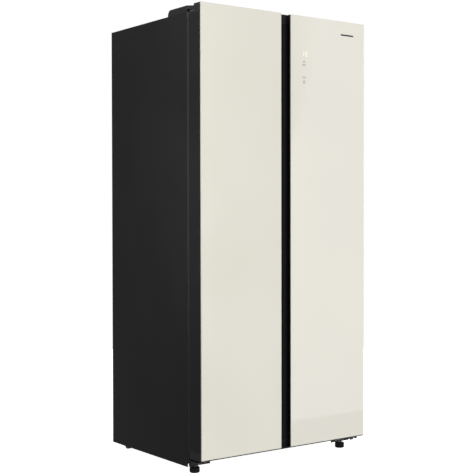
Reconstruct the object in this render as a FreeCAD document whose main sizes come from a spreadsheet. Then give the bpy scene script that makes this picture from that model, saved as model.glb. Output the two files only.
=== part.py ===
import FreeCAD, Part
import os
import re
import Sketcher
from FreeCAD import Placement, Rotation, Vector

# Side by side refrigerator, in millimetres. The origin is on the floor under the middle of the object.
# +Z is up, the doors face -Y, the freezer is at -X and the fridge at +X.

# Driving dimensions: (word, value, what it is).
SIZES = [
    ("overall_width", 820, "outside of the side panels"),
    ("overall_depth", 660, "door glass to rear panel"),
    ("overall_height", 1770, "floor to the top of the doors"),
    ("door_depth", 80, "front glass to the flat back of a door"),
    ("seal_gap", 12, "back of a door to the cabinet's front"),
    ("cabinet_drop", 24, "cabinet top under the top of the doors"),
    ("cabinet_clearance", 27, "lower edge of the side panels above the floor"),
    ("door_clearance", 62, "lower edge of the doors above the floor"),
    ("door_gap", 47, "between the two glass panels"),
    ("gap_centre", 5, "middle of that gap, left of the middle of the object"),
    ("door_seam", 3, "between the two doors, behind the gap"),
    ("shell_sheet", 1, "outer steel"),
    ("base_sheet", 2, "base steel"),
    ("liner_wall", 2, "moulded liners"),
    ("glass_thickness", 4, "door glass"),
    ("shelf_glass", 4, "shelf glass"),
    ("plate_height", 60, "underside of the floor plate above the floor"),
    ("floor_wall", 48, "insulation under the compartments"),
    ("roof_wall", 50, "insulation over the compartments"),
    ("rear_wall", 55, "insulation behind the compartments"),
    ("freezer_wall", 55, "insulation beside the freezer"),
    ("fridge_wall", 45, "insulation beside the fridge"),
    ("post_width", 60, "wall between the compartments"),
    ("step_wall", 48, "insulation over and before the machine space"),
    ("machine_depth", 220, "machine space, front to back"),
    ("machine_ceiling", 260, "machine space above the floor"),
    ("hinge_inset", 20, "hinge axis in from the side"),
    ("hinge_depth", 58, "hinge axis behind the door glass"),
    ("pin_radius", 5, "hinge pins"),
    ("running_clearance", 0.05, "pin in its bush, on the radius"),
    ("tongue_width", 13, "upper hinge tongue"),
    ("tongue_thickness", 4, "upper hinge steel"),
    ("tongue_lift", 3, "upper hinge tongue above the cabinet top"),
    ("bracket_sheet", 3, "lower hinge steel"),
    ("bracket_width", 96, "lower hinge flange"),
    ("bracket_height", 50, "underside of the lower hinge tongue above the floor"),
    ("cap_height", 35, "upper end cap of a door"),
    ("foot_cap_height", 30, "lower end cap of a door"),
    ("cap_step", 46, "full-height front part of the upper cap"),
    ("cap_drop", 2, "rear part of the upper cap under the cabinet top"),
    ("trim_height", 3.3, "strip under the door glass"),
    ("channel_depth", 21, "grip channel floor behind the glass"),
    ("pocket_reach", 20, "finger pocket behind the edge of the glass"),
    ("pocket_end", 118, "lower end of the finger pocket above the floor"),
    ("grip_wall", 2.5, "grip profile"),
    ("side_sheet", 1.2, "black side sheet of a door"),
    ("recess_depth", 35, "hollow in the back of a door"),
    ("dyke_reach", 45, "rim of that hollow behind the back of the door"),
    ("dyke_wall", 6, "rim of that hollow"),
    ("recess_gap", 25, "rim of that hollow inside the compartment, on the free side"),
    ("recess_floor", 30, "rim of that hollow above the compartment's floor"),
    ("bin_hinge_gap", 90, "door bins in from the hinge axis"),
    ("bin_reach", 35, "door bins behind their rim"),
    ("bin_wall", 2.5, "door bins"),
    ("bin_height", 95, "door bins"),
    ("bin_count", 5, "door bins in one door"),
    ("seal_width", 16, "magnetic seal"),
    ("seal_inset", 5, "seal outside the mouth of the compartment"),
    ("seal_play", 0.5, "seal off the cabinet's front"),
    ("shelf_gap", 15, "shelves and drawers behind the door bins"),
    ("shelf_play", 1.5, "shelf to the liner, each side"),
    ("rib_reach", 12, "shelf ribs in from the liner"),
    ("rib_height", 8, "shelf ribs"),
    ("shelf_count", 4, "free shelves in one compartment"),
    ("drawer_inset", 28, "drawer box in from the liner"),
    ("drawer_wall", 3, "drawers"),
    ("drawer_flange", 14, "drawer rim, each side"),
    ("drawer_play", 0.5, "drawer rim above its rail"),
    ("drawer_floor_gap", 6, "drawer above the floor under it"),
    ("low_drawer_height", 175, "lower drawers"),
    ("high_drawer_height", 170, "upper drawers"),
    ("drawer_back_gap", 10, "drawer before the wall behind it"),
    ("cover_gap", 12, "glass cover above the upper drawer"),
    ("freezer_duct_gap", 70, "freezer air panel before the liner's back"),
    ("fridge_duct_gap", 28, "fridge air panel before the liner's back"),
    ("duct_wall", 3, "air panels"),
    ("vent_width", 90, "air slots"),
    ("vent_height", 8, "air slots"),
    ("vent_pitch", 120, "one air slot to the next"),
    ("cover_front", 62, "front of the hinge cover behind the door glass"),
    ("cover_back", 223, "rear of the hinge cover behind the door glass"),
    ("cover_wall", 2.5, "hinge cover"),
    ("cover_nose", 14, "hinge cover where it reaches over the doors"),
    ("cover_rear_height", 12, "upright rear of the hinge cover"),
    ("cover_slope", 31, "slope behind the hinge cover's top"),
    ("corner_cut_x", 36, "hinge cover corner, along the front"),
    ("corner_cut_y", 30, "hinge cover corner, along the side"),
    ("foot_radius", 19.5, "levelling feet"),
    ("foot_height", 22, "levelling feet"),
    ("foot_inset", 40, "levelling feet in from the side"),
    ("foot_depth", 13, "levelling feet behind the cabinet's front"),
    ("stud_radius", 5, "levelling feet studs"),
    ("rail_flange", 26, "foot of the base rails"),
    ("roller_radius", 20, "rear rollers"),
    ("roller_width", 16, "rear rollers"),
    ("roller_inset", 50, "rear rollers in from the side"),
    ("roller_back", 45, "rear rollers before the back"),
    ("axle_radius", 4, "roller axles"),
    ("roller_side_gap", 1, "roller to its bracket"),
    ("tray_height", 24, "drip tray"),
    ("tray_wall", 2, "drip tray"),
    ("compressor_radius", 72, "compressor pot"),
    ("compressor_height", 150, "compressor pot"),
    ("grommet_height", 12, "rubber grommets"),
    ("fan_radius", 55, "fan blades, hub to tip"),
    ("fan_depth", 18, "fan blades, front to back"),
    ("fan_hub", 16, "fan hubs"),
    ("fan_shaft", 3, "fan motor shafts"),
    ("fan_gap", 6, "fan blades to their opening"),
    ("fan_rise", 110, "freezer fan above the evaporator"),
    ("fan_blades", 5, "blades of a fan"),
    ("fin_count", 18, "fins of a coil"),
    ("fin_sheet", 1, "fins of a coil"),
    ("tube_radius", 4, "coil tubes and pipe stubs"),
    ("coil_depth", 50, "evaporator, front to back"),
    ("evaporator_height", 330, "evaporator"),
    ("condenser_height", 130, "condenser"),
    ("condenser_inset", 80, "condenser tray in from the left side"),
    ("condenser_width", 260, "condenser tray"),
    ("condenser_rows", 6, "tube rows of the condenser"),
    ("evaporator_rows", 5, "tube rows of the evaporator"),
    ("compressor_inset", 190, "middle of the compressor in from the right side"),
    ("compressor_foot", 95, "half of the compressor's foot plate"),
    ("drier_gap", 25, "drier beside the compressor's foot plate"),
    ("drier_radius", 10, "drier"),
    ("drier_length", 95, "drier"),
    ("inlet_inset", 80, "cord bush in from the right side"),
    ("inlet_z", 80, "cord bush above the floor"),
    ("inlet_radius", 9, "cord hole in the machine cover"),
    ("board_sheet", 2, "main circuit board"),
    ("screw_hole", 3.5, "hinge screw holes, radius"),
    ("screw_shank", 3.2, "hinge screws, radius"),
    ("screw_head", 6, "hinge screw heads, radius"),
    ("screw_pitch", 19, "one lower hinge screw to the next"),
    ("slot_rows", 6, "air slots in one column of the machine cover"),
    ("relay_count", 3, "tall components of the main board"),
    ("foot_flutes", 24, "grooves round a levelling foot"),
    ("board_width", 60, "display board"),
    ("board_height", 160, "display board"),
    ("board_thickness", 8, "display board"),
    ("board_inset", 47.5, "display board in from the edge of the glass"),
    ("board_drop", 122, "display board under the top of the doors"),
]

# Places worked out from them: (word, formula).
PLACES = [
    ("side", "overall_width / 2"),
    ("rear", "overall_depth / 2"),
    ("front", "-overall_depth / 2"),
    ("glass_back", "front + glass_thickness"),
    ("door_back", "front + door_depth"),
    ("cabinet_front", "door_back + seal_gap"),
    ("cabinet_top", "overall_height - cabinet_drop"),
    ("inner_side", "side - shell_sheet"),
    ("frame_back", "cabinet_front + shell_sheet"),
    ("panel_front", "rear - shell_sheet"),
    ("shell_ceiling", "cabinet_top - shell_sheet"),
    ("plate_top", "plate_height + base_sheet"),
    ("machine_front", "rear - machine_depth"),
    ("machine_roof", "machine_ceiling + base_sheet"),
    ("room_floor", "plate_top + floor_wall"),
    ("room_roof", "cabinet_top - roof_wall"),
    ("room_back", "rear - rear_wall"),
    ("step_front", "machine_front - base_sheet - step_wall"),
    ("step_top", "machine_roof + step_wall"),
    ("freezer_outer", "-side + freezer_wall"),
    ("freezer_inner", "-gap_centre - post_width / 2"),
    ("fridge_inner", "-gap_centre + post_width / 2"),
    ("fridge_outer", "side - fridge_wall"),
    ("hinge_y", "front + hinge_depth"),
    ("cap_base", "overall_height - cap_height"),
    ("cap_rear_top", "cabinet_top - cap_drop"),
    ("foot_cap_top", "door_clearance + foot_cap_height"),
    ("glass_base", "door_clearance + trim_height"),
    ("channel_front", "front + channel_depth"),
    ("channel_back", "channel_front + grip_wall"),
    ("recess_bottom", "room_floor + liner_wall + recess_floor"),
    ("recess_top", "room_roof - liner_wall - recess_floor"),
    ("recess_front", "door_back - recess_depth"),
    ("dyke_back", "door_back + dyke_reach"),
    ("bin_back", "dyke_back + bin_reach"),
    ("shelf_front", "bin_back + shelf_gap"),
    ("freezer_duct", "room_back - liner_wall - freezer_duct_gap"),
    ("fridge_duct", "room_back - liner_wall - fridge_duct_gap"),
    ("low_drawer_base", "room_floor + liner_wall + drawer_floor_gap"),
    ("high_drawer_base", "step_top + liner_wall + drawer_floor_gap"),
    ("high_drawer_top", "high_drawer_base + high_drawer_height"),
    ("low_drawer_top", "low_drawer_base + low_drawer_height"),
    ("cover_shelf", "high_drawer_top + cover_gap"),
    ("low_drawer_back", "step_front - liner_wall - drawer_back_gap"),
    ("tongue_base", "cabinet_top + tongue_lift"),
    ("foot_y", "cabinet_front + foot_depth"),
    ("roller_y", "rear - roller_back"),
    ("machine_floor", "cabinet_clearance + base_sheet"),
    ("machine_rear", "rear - 2 * base_sheet"),
    ("bracket_top", "bracket_height + bracket_sheet"),
    ("shelf_pitch", "(room_roof - liner_wall - cover_shelf) / (shelf_count + 1)"),
    ("bin_pitch", "(recess_top - recess_bottom - 4 * dyke_wall) / bin_count"),
    ("fan_height", "step_top + coil_depth + evaporator_height + fan_rise"),
    ("condenser_left", "condenser_inset - side"),
    ("condenser_right", "condenser_left + condenser_width"),
    ("compressor_x", "side - compressor_inset"),
    ("compressor_left", "compressor_x - compressor_foot"),
    ("condenser_fan_x", "(condenser_right + compressor_left + fan_depth) / 2 - fan_hub"),
    ("drier_x", "compressor_left - drier_gap"),
    ("inlet_x", "side - inlet_inset"),
    ("board_left", "door_gap / 2 - gap_centre + board_inset"),
    ("board_base", "overall_height - board_drop - board_height"),
]

WORDS = {row[0] for row in SIZES} | {row[0] for row in PLACES}
LEAST_CUT = 1.0e-3  # cubic millimetres that a cut has to take away


def bound(text):
    """An expression with each word of the sheet written as the sheet's own property."""

    def spelt(found):
        word = found.group(0)
        return f"Sizes.{word}" if word in WORDS else word

    return re.sub(r"[A-Za-z_]\w*", spelt, text)


class Design:
    """The document, its sheet of sizes and the named sub-parts."""

    def __init__(self):
        self.doc = FreeCAD.newDocument("Refrigerator")
        self.sheet = self.doc.addObject("Spreadsheet::Sheet", "Sizes")
        self.nodes = []
        self.cuts = []
        rows = [(word, str(value)) for word, value, _ in SIZES]
        rows += [(word, "=" + formula) for word, formula in PLACES]
        for number, (word, content) in enumerate(rows, start=1):
            self.sheet.set(f"A{number}", word)
            self.sheet.set(f"B{number}", content)
            self.sheet.setAlias(f"B{number}", word)
        self.doc.recompute()

    def value(self, text):
        """The number that an expression gives."""
        return float(self.sheet.evalExpression(bound(str(text))))

    def bind(self, thing, prop, text):
        thing.setExpression(prop, bound(str(text)))

    def place(self, thing, at):
        for axis, text in zip("xyz", at):
            self.bind(thing, f"Placement.Base.{axis}", text)

    def node(self, thing, label):
        """Take a document object as the sub-part of that name."""
        thing.Label = label
        self.nodes.append(thing)
        return thing

    # Part primitives and booleans

    def box(self, low, high, name="Box"):
        """A block between two corners."""
        block = self.doc.addObject("Part::Box", name)
        for prop, start, end in zip(("Length", "Width", "Height"), low, high):
            self.bind(block, prop, f"({end}) - ({start})")
        self.place(block, low)
        return block

    def cylinder(self, radius, height, at, axis="z", name="Cylinder"):
        """A round bar from a point along +X, +Y or +Z."""
        bar = self.doc.addObject("Part::Cylinder", name)
        turns = {
            "x": Rotation(Vector(0, 1, 0), 90),
            "y": Rotation(Vector(1, 0, 0), -90),
            "z": Rotation(),
        }
        bar.Placement = Placement(Vector(), turns[axis])
        self.bind(bar, "Radius", radius)
        self.bind(bar, "Height", height)
        self.place(bar, at)
        return bar

    def fuse(self, shapes, name="Fusion"):
        joined = self.doc.addObject("Part::MultiFuse", name)
        joined.Shapes = shapes
        joined.Refine = True
        return joined

    def cut(self, base, tools, name="Cut"):
        result = self.doc.addObject("Part::Cut", name)
        result.Base = base
        result.Tool = tools[0] if len(tools) == 1 else self.fuse(tools)
        self.cuts.append((result, base))
        return result

    def group(self, shapes, name="Group"):
        """Separate solids in one object."""
        held = self.doc.addObject("Part::Compound", name)
        held.Links = shapes
        return held

    # PartDesign bodies

    def body(self, label, at=("0", "0", "0")):
        body = self.doc.addObject("PartDesign::Body", label)
        self.place(body, at)
        return self.node(body, label)

    def sketch(self, body, plane, offset="0"):
        """An empty sketch on one of the body's own origin planes, moved along its normal."""
        sketch = body.newObject("Sketcher::SketchObject", body.Name + "Sketch")
        support = next(f for f in body.Origin.OriginFeatures if f.Role == plane)
        sketch.AttachmentSupport = [(support, "")]
        sketch.MapMode = "FlatFace"
        self.bind(sketch, "AttachmentOffset.Base.z", offset)
        return sketch

    def outline(self, sketch, points):
        """A closed outline whose corners are bound to expressions."""
        places = [Vector(self.value(x), self.value(y), 0) for x, y in points]
        count = len(points)
        first = sketch.GeometryCount
        for i in range(count):
            sketch.addGeometry(Part.LineSegment(places[i], places[(i + 1) % count]))
        for i in range(count):
            sketch.addConstraint(Sketcher.Constraint("Coincident", first + i, 2, first + (i + 1) % count, 1))
        for i, (x, y) in enumerate(points):
            for kind, text, number in (("DistanceX", x, places[i].x), ("DistanceY", y, places[i].y)):
                index = sketch.addConstraint(Sketcher.Constraint(kind, -1, 1, first + i, 1, number))
                self.bind(sketch, f"Constraints[{index}]", text)

    def rectangle(self, sketch, low, high):
        (x0, y0), (x1, y1) = low, high
        self.outline(sketch, [(x0, y0), (x1, y0), (x1, y1), (x0, y1)])

    def circle(self, sketch, centre, radius):
        x, y = self.value(centre[0]), self.value(centre[1])
        number = sketch.addGeometry(Part.Circle(Vector(x, y, 0), Vector(0, 0, 1), self.value(radius)))
        rows = (("DistanceX", centre[0], x), ("DistanceY", centre[1], y))
        for kind, text, place in rows:
            index = sketch.addConstraint(Sketcher.Constraint(kind, -1, 1, number, 3, place))
            self.bind(sketch, f"Constraints[{index}]", text)
        index = sketch.addConstraint(Sketcher.Constraint("Radius", number, self.value(radius)))
        self.bind(sketch, f"Constraints[{index}]", radius)

    def pad(self, body, sketch, length, backwards=False):
        pad = body.newObject("PartDesign::Pad", body.Name + "Pad")
        pad.Profile = sketch
        pad.Reversed = backwards
        self.bind(pad, "Length", length)
        return pad

    def pocket(self, body, sketch, length, forwards=True):
        """Take material away from the sketch, along its plane's normal unless told otherwise."""
        base = body.Tip
        pocket = body.newObject("PartDesign::Pocket", body.Name + "Pocket")
        pocket.Profile = sketch
        pocket.Reversed = forwards
        self.bind(pocket, "Length", length)
        self.cuts.append((pocket, base))
        return pocket

    def revolve(self, body, sketch, axis="V_Axis"):
        turned = body.newObject("PartDesign::Revolution", body.Name + "Revolution")
        turned.Profile = sketch
        turned.ReferenceAxis = (sketch, [axis])
        turned.Angle = 360
        return turned

    def fillet(self, body, edges, radius):
        """Round the tip's edges that the given test picks."""
        self.doc.recompute()
        base = body.Tip
        names = [f"Edge{i}" for i, edge in enumerate(base.Shape.Edges, start=1) if edges(edge)]
        rounding = body.newObject("PartDesign::Fillet", body.Name + "Fillet")
        rounding.Base = (base, names)
        self.bind(rounding, "Radius", radius)
        return rounding

    def line_of(self, body, feature, plane_axis, step, count):
        """Repeat a feature along one of the body's origin axes."""
        self.doc.recompute()
        pattern = body.newObject("PartDesign::LinearPattern", body.Name + "Line")
        axis = next(f for f in body.Origin.OriginFeatures if f.Role == plane_axis)
        pattern.Originals = [feature]
        pattern.Direction = (axis, [""])
        pattern.Mode = "Spacing"
        self.bind(pattern, "Offset", step)
        self.bind(pattern, "Occurrences", count)
        body.Tip = pattern
        return pattern

    def ring_of(self, body, feature, plane_axis, count):
        """Repeat a feature evenly round one of the body's origin axes."""
        self.doc.recompute()
        pattern = body.newObject("PartDesign::PolarPattern", body.Name + "Ring")
        axis = next(f for f in body.Origin.OriginFeatures if f.Role == plane_axis)
        pattern.Originals = [feature]
        pattern.Axis = (axis, [""])
        pattern.Angle = 360
        self.bind(pattern, "Occurrences", count)
        body.Tip = pattern
        return pattern


class Side:
    """One half of the object, freezer or fridge, measured in from its own outer side."""

    def __init__(self, name, outward):
        self.name = name
        self.outward = outward
        self.outer = f"{name}_outer"
        self.inner = f"{name}_inner"

    def x(self, inset):
        """The place that far in from the outer side."""
        return f"{self.outward} * (side - ({inset}))"

    def outward_of(self, place, distance):
        return f"({place}) + {self.outward} * ({distance})"

    def span(self, first, second):
        """Two places in rising order, the first being the outer one."""
        return (first, second) if self.outward < 0 else (second, first)

    def seam(self):
        """The free edge of this side's door."""
        return f"-gap_centre + {self.outward} * door_seam / 2"

    def glass_edge(self):
        return f"-gap_centre + {self.outward} * door_gap / 2"


FREEZER = Side("freezer", -1)
FRIDGE = Side("fridge", 1)
SIDES = (FREEZER, FRIDGE)


def upright(design, body, y):
    """A sketch in X and Z at that depth; a pad from it grows towards the front."""
    return design.sketch(body, "XZ_Plane", f"-({y})")


def room(gap="0"):
    """The side outline of a compartment, inside a skin of that thickness."""
    return [
        (f"cabinet_front - 2 * ({gap})", f"room_floor + {gap}"),
        (f"step_front - {gap}", f"room_floor + {gap}"),
        (f"step_front - {gap}", f"step_top + {gap}"),
        (f"room_back - {gap}", f"step_top + {gap}"),
        (f"room_back - {gap}", f"room_roof - {gap}"),
        (f"cabinet_front - 2 * ({gap})", f"room_roof - {gap}"),
    ]


def liner_span(side, gap="0"):
    """The two inner faces of a compartment's liner in rising X, each moved in by a gap."""
    outer = side.outward_of(side.outer, f"-(liner_wall + {gap})")
    inner = side.outward_of(side.inner, f"liner_wall + {gap}")
    return side.span(outer, inner)


# Cabinet


def cabinet_shell(design):
    """Painted steel wrap: both sides and the top."""
    body = design.body("cabinet_shell")
    sketch = upright(design, body, "rear")
    design.outline(
        sketch,
        [
            ("-side", "cabinet_clearance"),
            ("-side", "cabinet_top"),
            ("side", "cabinet_top"),
            ("side", "cabinet_clearance"),
            ("inner_side", "cabinet_clearance"),
            ("inner_side", "shell_ceiling"),
            ("-inner_side", "shell_ceiling"),
            ("-inner_side", "cabinet_clearance"),
        ],
    )
    design.pad(body, sketch, "rear - cabinet_front")


def front_frame(design):
    """Painted face of the cabinet, with the middle post between the two mouths."""
    body = design.body("front_frame")
    sketch = upright(design, body, "frame_back")
    design.rectangle(sketch, ("-inner_side", "plate_top"), ("inner_side", "shell_ceiling"))
    for side in SIDES:
        low, high = side.span(side.outer, side.inner)
        design.rectangle(sketch, (low, "room_floor"), (high, "room_roof"))
    design.pad(body, sketch, "shell_sheet")


def rear_panel(design):
    """Steel back above the machine space, with pressed stiffening grooves."""
    body = design.body("rear_panel")
    sketch = upright(design, body, "rear")
    design.rectangle(sketch, ("-inner_side", "machine_roof"), ("inner_side", "shell_ceiling"))
    design.pad(body, sketch, "shell_sheet")
    groove = upright(design, body, "rear")
    groove_top = "step_top + rib_reach"
    design.rectangle(groove, ("-inner_side / 2", "machine_roof + rear_wall"), ("inner_side / 2", groove_top))
    cut = design.pocket(body, groove, "shell_sheet / 2")
    design.line_of(body, cut, "Z_Axis", "shelf_pitch", "shelf_count + 1")


def cabinet_foam(design):
    """One block of insulation round both compartments, stepped over the machine space."""
    body = design.body("cabinet_foam")
    sketch = design.sketch(body, "YZ_Plane", "-inner_side")
    design.outline(
        sketch,
        [
            ("frame_back", "plate_top"),
            ("machine_front - base_sheet", "plate_top"),
            ("machine_front - base_sheet", "machine_roof"),
            ("panel_front", "machine_roof"),
            ("panel_front", "shell_ceiling"),
            ("frame_back", "shell_ceiling"),
        ],
    )
    design.pad(body, sketch, "2 * inner_side")
    for side in SIDES:
        low, high = side.span(side.outer, side.inner)
        hollow = design.sketch(body, "YZ_Plane", low)
        design.outline(hollow, room())
        design.pocket(body, hollow, f"({high}) - ({low})")


def shelf_heights(design):
    """Undersides of the glass in one compartment, lowest first."""
    count = round(design.value("shelf_count"))
    return ["cover_shelf"] + [f"cover_shelf + {i} * shelf_pitch" for i in range(1, count + 1)]


def liner(design, side, duct):
    """Moulded skin of a compartment with its shelf ribs and drawer rails."""
    body = design.body(f"{side.name}_liner")
    low, high = side.span(side.outer, side.inner)
    sketch = design.sketch(body, "YZ_Plane", low)
    design.outline(sketch, room())
    design.pad(body, sketch, f"({high}) - ({low})")
    inside_low, inside_high = liner_span(side)
    hollow = design.sketch(body, "YZ_Plane", inside_low)
    design.outline(hollow, room("liner_wall"))
    design.pocket(body, hollow, f"({inside_high}) - ({inside_low})")
    drawer_rail = "(drawer_wall + drawer_play)"
    rails = [
        (f"low_drawer_top - {drawer_rail}", "low_drawer_back"),
        (f"high_drawer_top - {drawer_rail}", duct),
    ]
    rail_reach = "drawer_inset - drawer_wall"
    for wall, backwards in ((inside_low, False), (inside_high, True)):
        ribs = design.sketch(body, "YZ_Plane", wall)
        for top in shelf_heights(design):
            design.rectangle(ribs, ("shelf_front", f"{top} - rib_height"), (duct, top))
        design.pad(body, ribs, "rib_reach", backwards)
        guides = design.sketch(body, "YZ_Plane", wall)
        for top, back in rails:
            design.rectangle(guides, ("shelf_front", f"{top} - rib_height"), (back, top))
        design.pad(body, guides, rail_reach, backwards)


def roller_bracket(design, side):
    """Plates round one rear roller, hung from the side rail."""
    near = "roller_inset - roller_width / 2 - roller_side_gap"
    far = "roller_inset + roller_width / 2 + roller_side_gap"
    reach = "roller_radius + base_sheet"
    roof = "2 * roller_radius + base_sheet"
    plate_base = "roller_radius / 2"
    rows = (
        ("shell_sheet", f"{far} + base_sheet", roof),
        (f"{near} - base_sheet", near, plate_base),
        (far, f"{far} + base_sheet", plate_base),
    )
    plates = []
    for start, end, base in rows:
        low, high = side.span(side.x(start), side.x(end))
        plates.append(
            design.box(
                (low, f"roller_y - {reach}", base),
                (high, f"roller_y + {reach}", f"{roof} + base_sheet"),
            )
        )
    return plates


def base_frame(design):
    """Pressed floor plate with the step over the machine space, the rails and the roller brackets."""
    sheet = "base_sheet"
    parts = [
        design.box(
            ("-inner_side", "cabinet_front", "plate_height"),
            ("inner_side", "machine_front", "plate_top"),
        ),
        design.box(
            ("-inner_side", f"machine_front - {sheet}", "plate_height"),
            ("inner_side", "machine_front", "machine_roof"),
        ),
        design.box(
            ("-inner_side", f"machine_front - {sheet}", "machine_ceiling"),
            ("inner_side", "panel_front", "machine_roof"),
        ),
        design.box(
            ("-inner_side", "cabinet_front", "cabinet_clearance"),
            ("inner_side", f"cabinet_front + {sheet}", "plate_top"),
        ),
        design.box(
            ("-inner_side", "cabinet_front", "cabinet_clearance"),
            ("inner_side", "foot_y + foot_radius", "machine_floor"),
        ),
    ]
    holes = []
    for side in SIDES:
        low, high = side.span(side.x("shell_sheet"), side.x(f"shell_sheet + {sheet}"))
        parts.append(
            design.box((low, "cabinet_front", "cabinet_clearance"), (high, "machine_rear", "plate_top"))
        )
        low, high = side.span(side.x("shell_sheet"), side.x("shell_sheet + rail_flange"))
        parts.append(
            design.box((low, "cabinet_front", "cabinet_clearance"), (high, "machine_rear", "machine_floor"))
        )
        parts += roller_bracket(design, side)
        holes.append(
            design.cylinder(
                "stud_radius + running_clearance",
                "2 * base_sheet",
                (side.x("foot_inset"), "foot_y", f"cabinet_clearance - {sheet} / 2"),
            )
        )
        low, high = side.span(side.x("roller_inset - roller_width"), side.x("roller_inset + roller_width"))
        holes.append(
            design.cylinder(
                "axle_radius + running_clearance",
                f"({high}) - ({low})",
                (low, "roller_y", "roller_radius"),
                "x",
            )
        )
    design.node(design.cut(design.fuse(parts), holes), "base_frame")


def compressor_plate(design):
    """Cross plate between the inner roller brackets, with the machine parts on it."""
    reach = "side - (roller_inset + roller_width / 2 + roller_side_gap + base_sheet)"
    plate = design.box(
        (f"-({reach})", "machine_front", "machine_floor"),
        (reach, "machine_rear", "machine_floor + base_sheet"),
        "PlateBlock",
    )
    design.node(plate, "compressor_plate")


def hinge_cover(design):
    """Open-bottomed black cover over both upper hinges, its front corners cut back for the doors."""
    body = design.body("hinge_cover")
    nose_front = "front + cover_front"
    nose_base = "overall_height - cover_nose"
    back = "front + cover_back"
    rear_top = "cabinet_top + cover_rear_height"
    sketch = design.sketch(body, "YZ_Plane", "-side")
    design.outline(
        sketch,
        [
            (nose_front, nose_base),
            (nose_front, "overall_height"),
            (f"{back} - cover_slope", "overall_height"),
            (back, rear_top),
            (back, "cabinet_top"),
            ("cabinet_front", "cabinet_top"),
            ("cabinet_front", nose_base),
        ],
    )
    design.pad(body, sketch, "2 * side")
    hollow = design.sketch(body, "YZ_Plane", "-side + cover_wall")
    wall = "cover_wall"
    design.outline(
        hollow,
        [
            (f"{nose_front} + {wall}", f"{nose_base} - {wall}"),
            (f"{nose_front} + {wall}", f"overall_height - {wall}"),
            (f"{back} - cover_slope", f"overall_height - {wall}"),
            (f"{back} - {wall}", f"{rear_top} - {wall} / 2"),
            (f"{back} - {wall}", f"cabinet_top - {wall}"),
            (f"cabinet_front - {wall}", f"cabinet_top - {wall}"),
            (f"cabinet_front - {wall}", f"{nose_base} - {wall}"),
        ],
    )
    design.pocket(body, hollow, "2 * (side - cover_wall)")
    for side in SIDES:
        corner = design.sketch(body, "XY_Plane", "cabinet_top - cover_wall")
        cut_x = side.x("corner_cut_x")
        over_x = side.x("-corner_cut_x")
        beyond = f"{nose_front} - corner_cut_y"
        behind = f"{nose_front} + corner_cut_y"
        edge = side.x("0")
        design.outline(
            corner,
            [(cut_x, beyond), (cut_x, nose_front), (edge, behind), (over_x, behind), (over_x, beyond)],
        )
        design.pocket(body, corner, "cabinet_drop + 2 * cover_wall")


def top_hinge(design, side):
    """Steel hinge on the cabinet top, its tongue reaching over the door to a pin."""
    low, high = side.span(side.x("hinge_inset / 2"), side.x("hinge_inset + bracket_width / 2"))
    plate_back = "cabinet_front + bracket_width"
    top = "tongue_base + tongue_thickness"
    centre = side.x("hinge_inset")
    plate = design.box((low, "cabinet_front + rib_height", "cabinet_top"), (high, plate_back, top))
    tongue = design.box(
        (f"{centre} - tongue_width / 2", "hinge_y", "tongue_base"),
        (f"{centre} + tongue_width / 2", "cabinet_front + 2 * rib_height", top),
    )
    knuckle = design.cylinder("tongue_width / 2", "tongue_thickness", (centre, "hinge_y", "tongue_base"))
    pin_base = "cap_base + shell_sheet"
    pin = design.cylinder("pin_radius", f"{top} - ({pin_base})", (centre, "hinge_y", pin_base))
    solid = design.fuse([plate, tongue, knuckle, pin])
    holes = [
        design.cylinder("screw_hole", "2 * cabinet_drop", (x, y, "cabinet_top - base_sheet"))
        for x, y in top_screws(side)
    ]
    design.node(design.cut(solid, holes), f"{side.name}_top_hinge")


def top_screws(side):
    """Places of the three screws of an upper hinge."""
    near = side.x("hinge_inset")
    far = side.x("hinge_inset + bracket_width / 3")
    back = "cabinet_front + bracket_width - 2 * rib_height"
    return [(near, back), (far, back), (far, "cabinet_front + 3 * rib_height")]


def bottom_screws(side):
    """Places, X and Z, of the three screws of a lower hinge."""
    level = "(machine_floor + bracket_height) / 2"
    return [(side.x(f"hinge_inset + {i} * screw_pitch"), level) for i in (1, 2, 3)]


def bottom_hinge(design, side):
    """Pressed bracket under the door with a pin, a collar that carries the door and a nut."""
    inset = "hinge_inset / 4"
    centre = side.x("hinge_inset")
    flange_low, flange_high = side.span(side.x(inset), side.x(f"{inset} + bracket_width"))
    flange = design.box(
        (flange_low, "cabinet_front - bracket_sheet", "machine_floor"),
        (flange_high, "cabinet_front", "bracket_top"),
    )
    reach = "hinge_inset - pin_radius / 2"
    tongue_low, tongue_high = side.span(side.x(inset), side.x(f"hinge_inset + {reach}"))
    tongue = design.box(
        (tongue_low, f"hinge_y - {reach}", "bracket_height"),
        (tongue_high, "cabinet_front", "bracket_top"),
    )
    web_low, web_high = side.span(side.x(inset), side.x(f"{inset} + bracket_sheet"))
    front_web = design.box(
        (web_low, f"hinge_y - {reach}", "bracket_height - 2 * bracket_sheet"),
        (web_high, "cabinet_front", "bracket_top"),
    )
    rear_web = design.box(
        (web_low, "hinge_y", "machine_floor + 2 * bracket_sheet"),
        (web_high, "cabinet_front", "bracket_top"),
    )
    on_tongue = (centre, "hinge_y", "bracket_top")
    rise = "door_clearance - bracket_top - seal_play"
    collar = design.cylinder("pin_radius + bracket_sheet", rise, on_tongue)
    pin = design.cylinder("pin_radius", "foot_cap_top - bracket_top - 2 * bracket_sheet", on_tongue)
    nut = design.doc.addObject("Part::Prism", "Nut")
    nut.Polygon = 6
    design.bind(nut, "Circumradius", "pin_radius + bracket_sheet")
    design.bind(nut, "Height", "3 * bracket_sheet")
    design.place(nut, (centre, "hinge_y", "bracket_height - 3 * bracket_sheet"))
    solid = design.fuse([flange, tongue, front_web, rear_web, collar, pin, nut])
    holes = [
        design.cylinder("screw_hole", "4 * bracket_sheet", (x, "cabinet_front - 2 * bracket_sheet", z), "y")
        for x, z in bottom_screws(side)
    ]
    design.node(design.cut(solid, holes), f"{side.name}_bottom_hinge")


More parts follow.
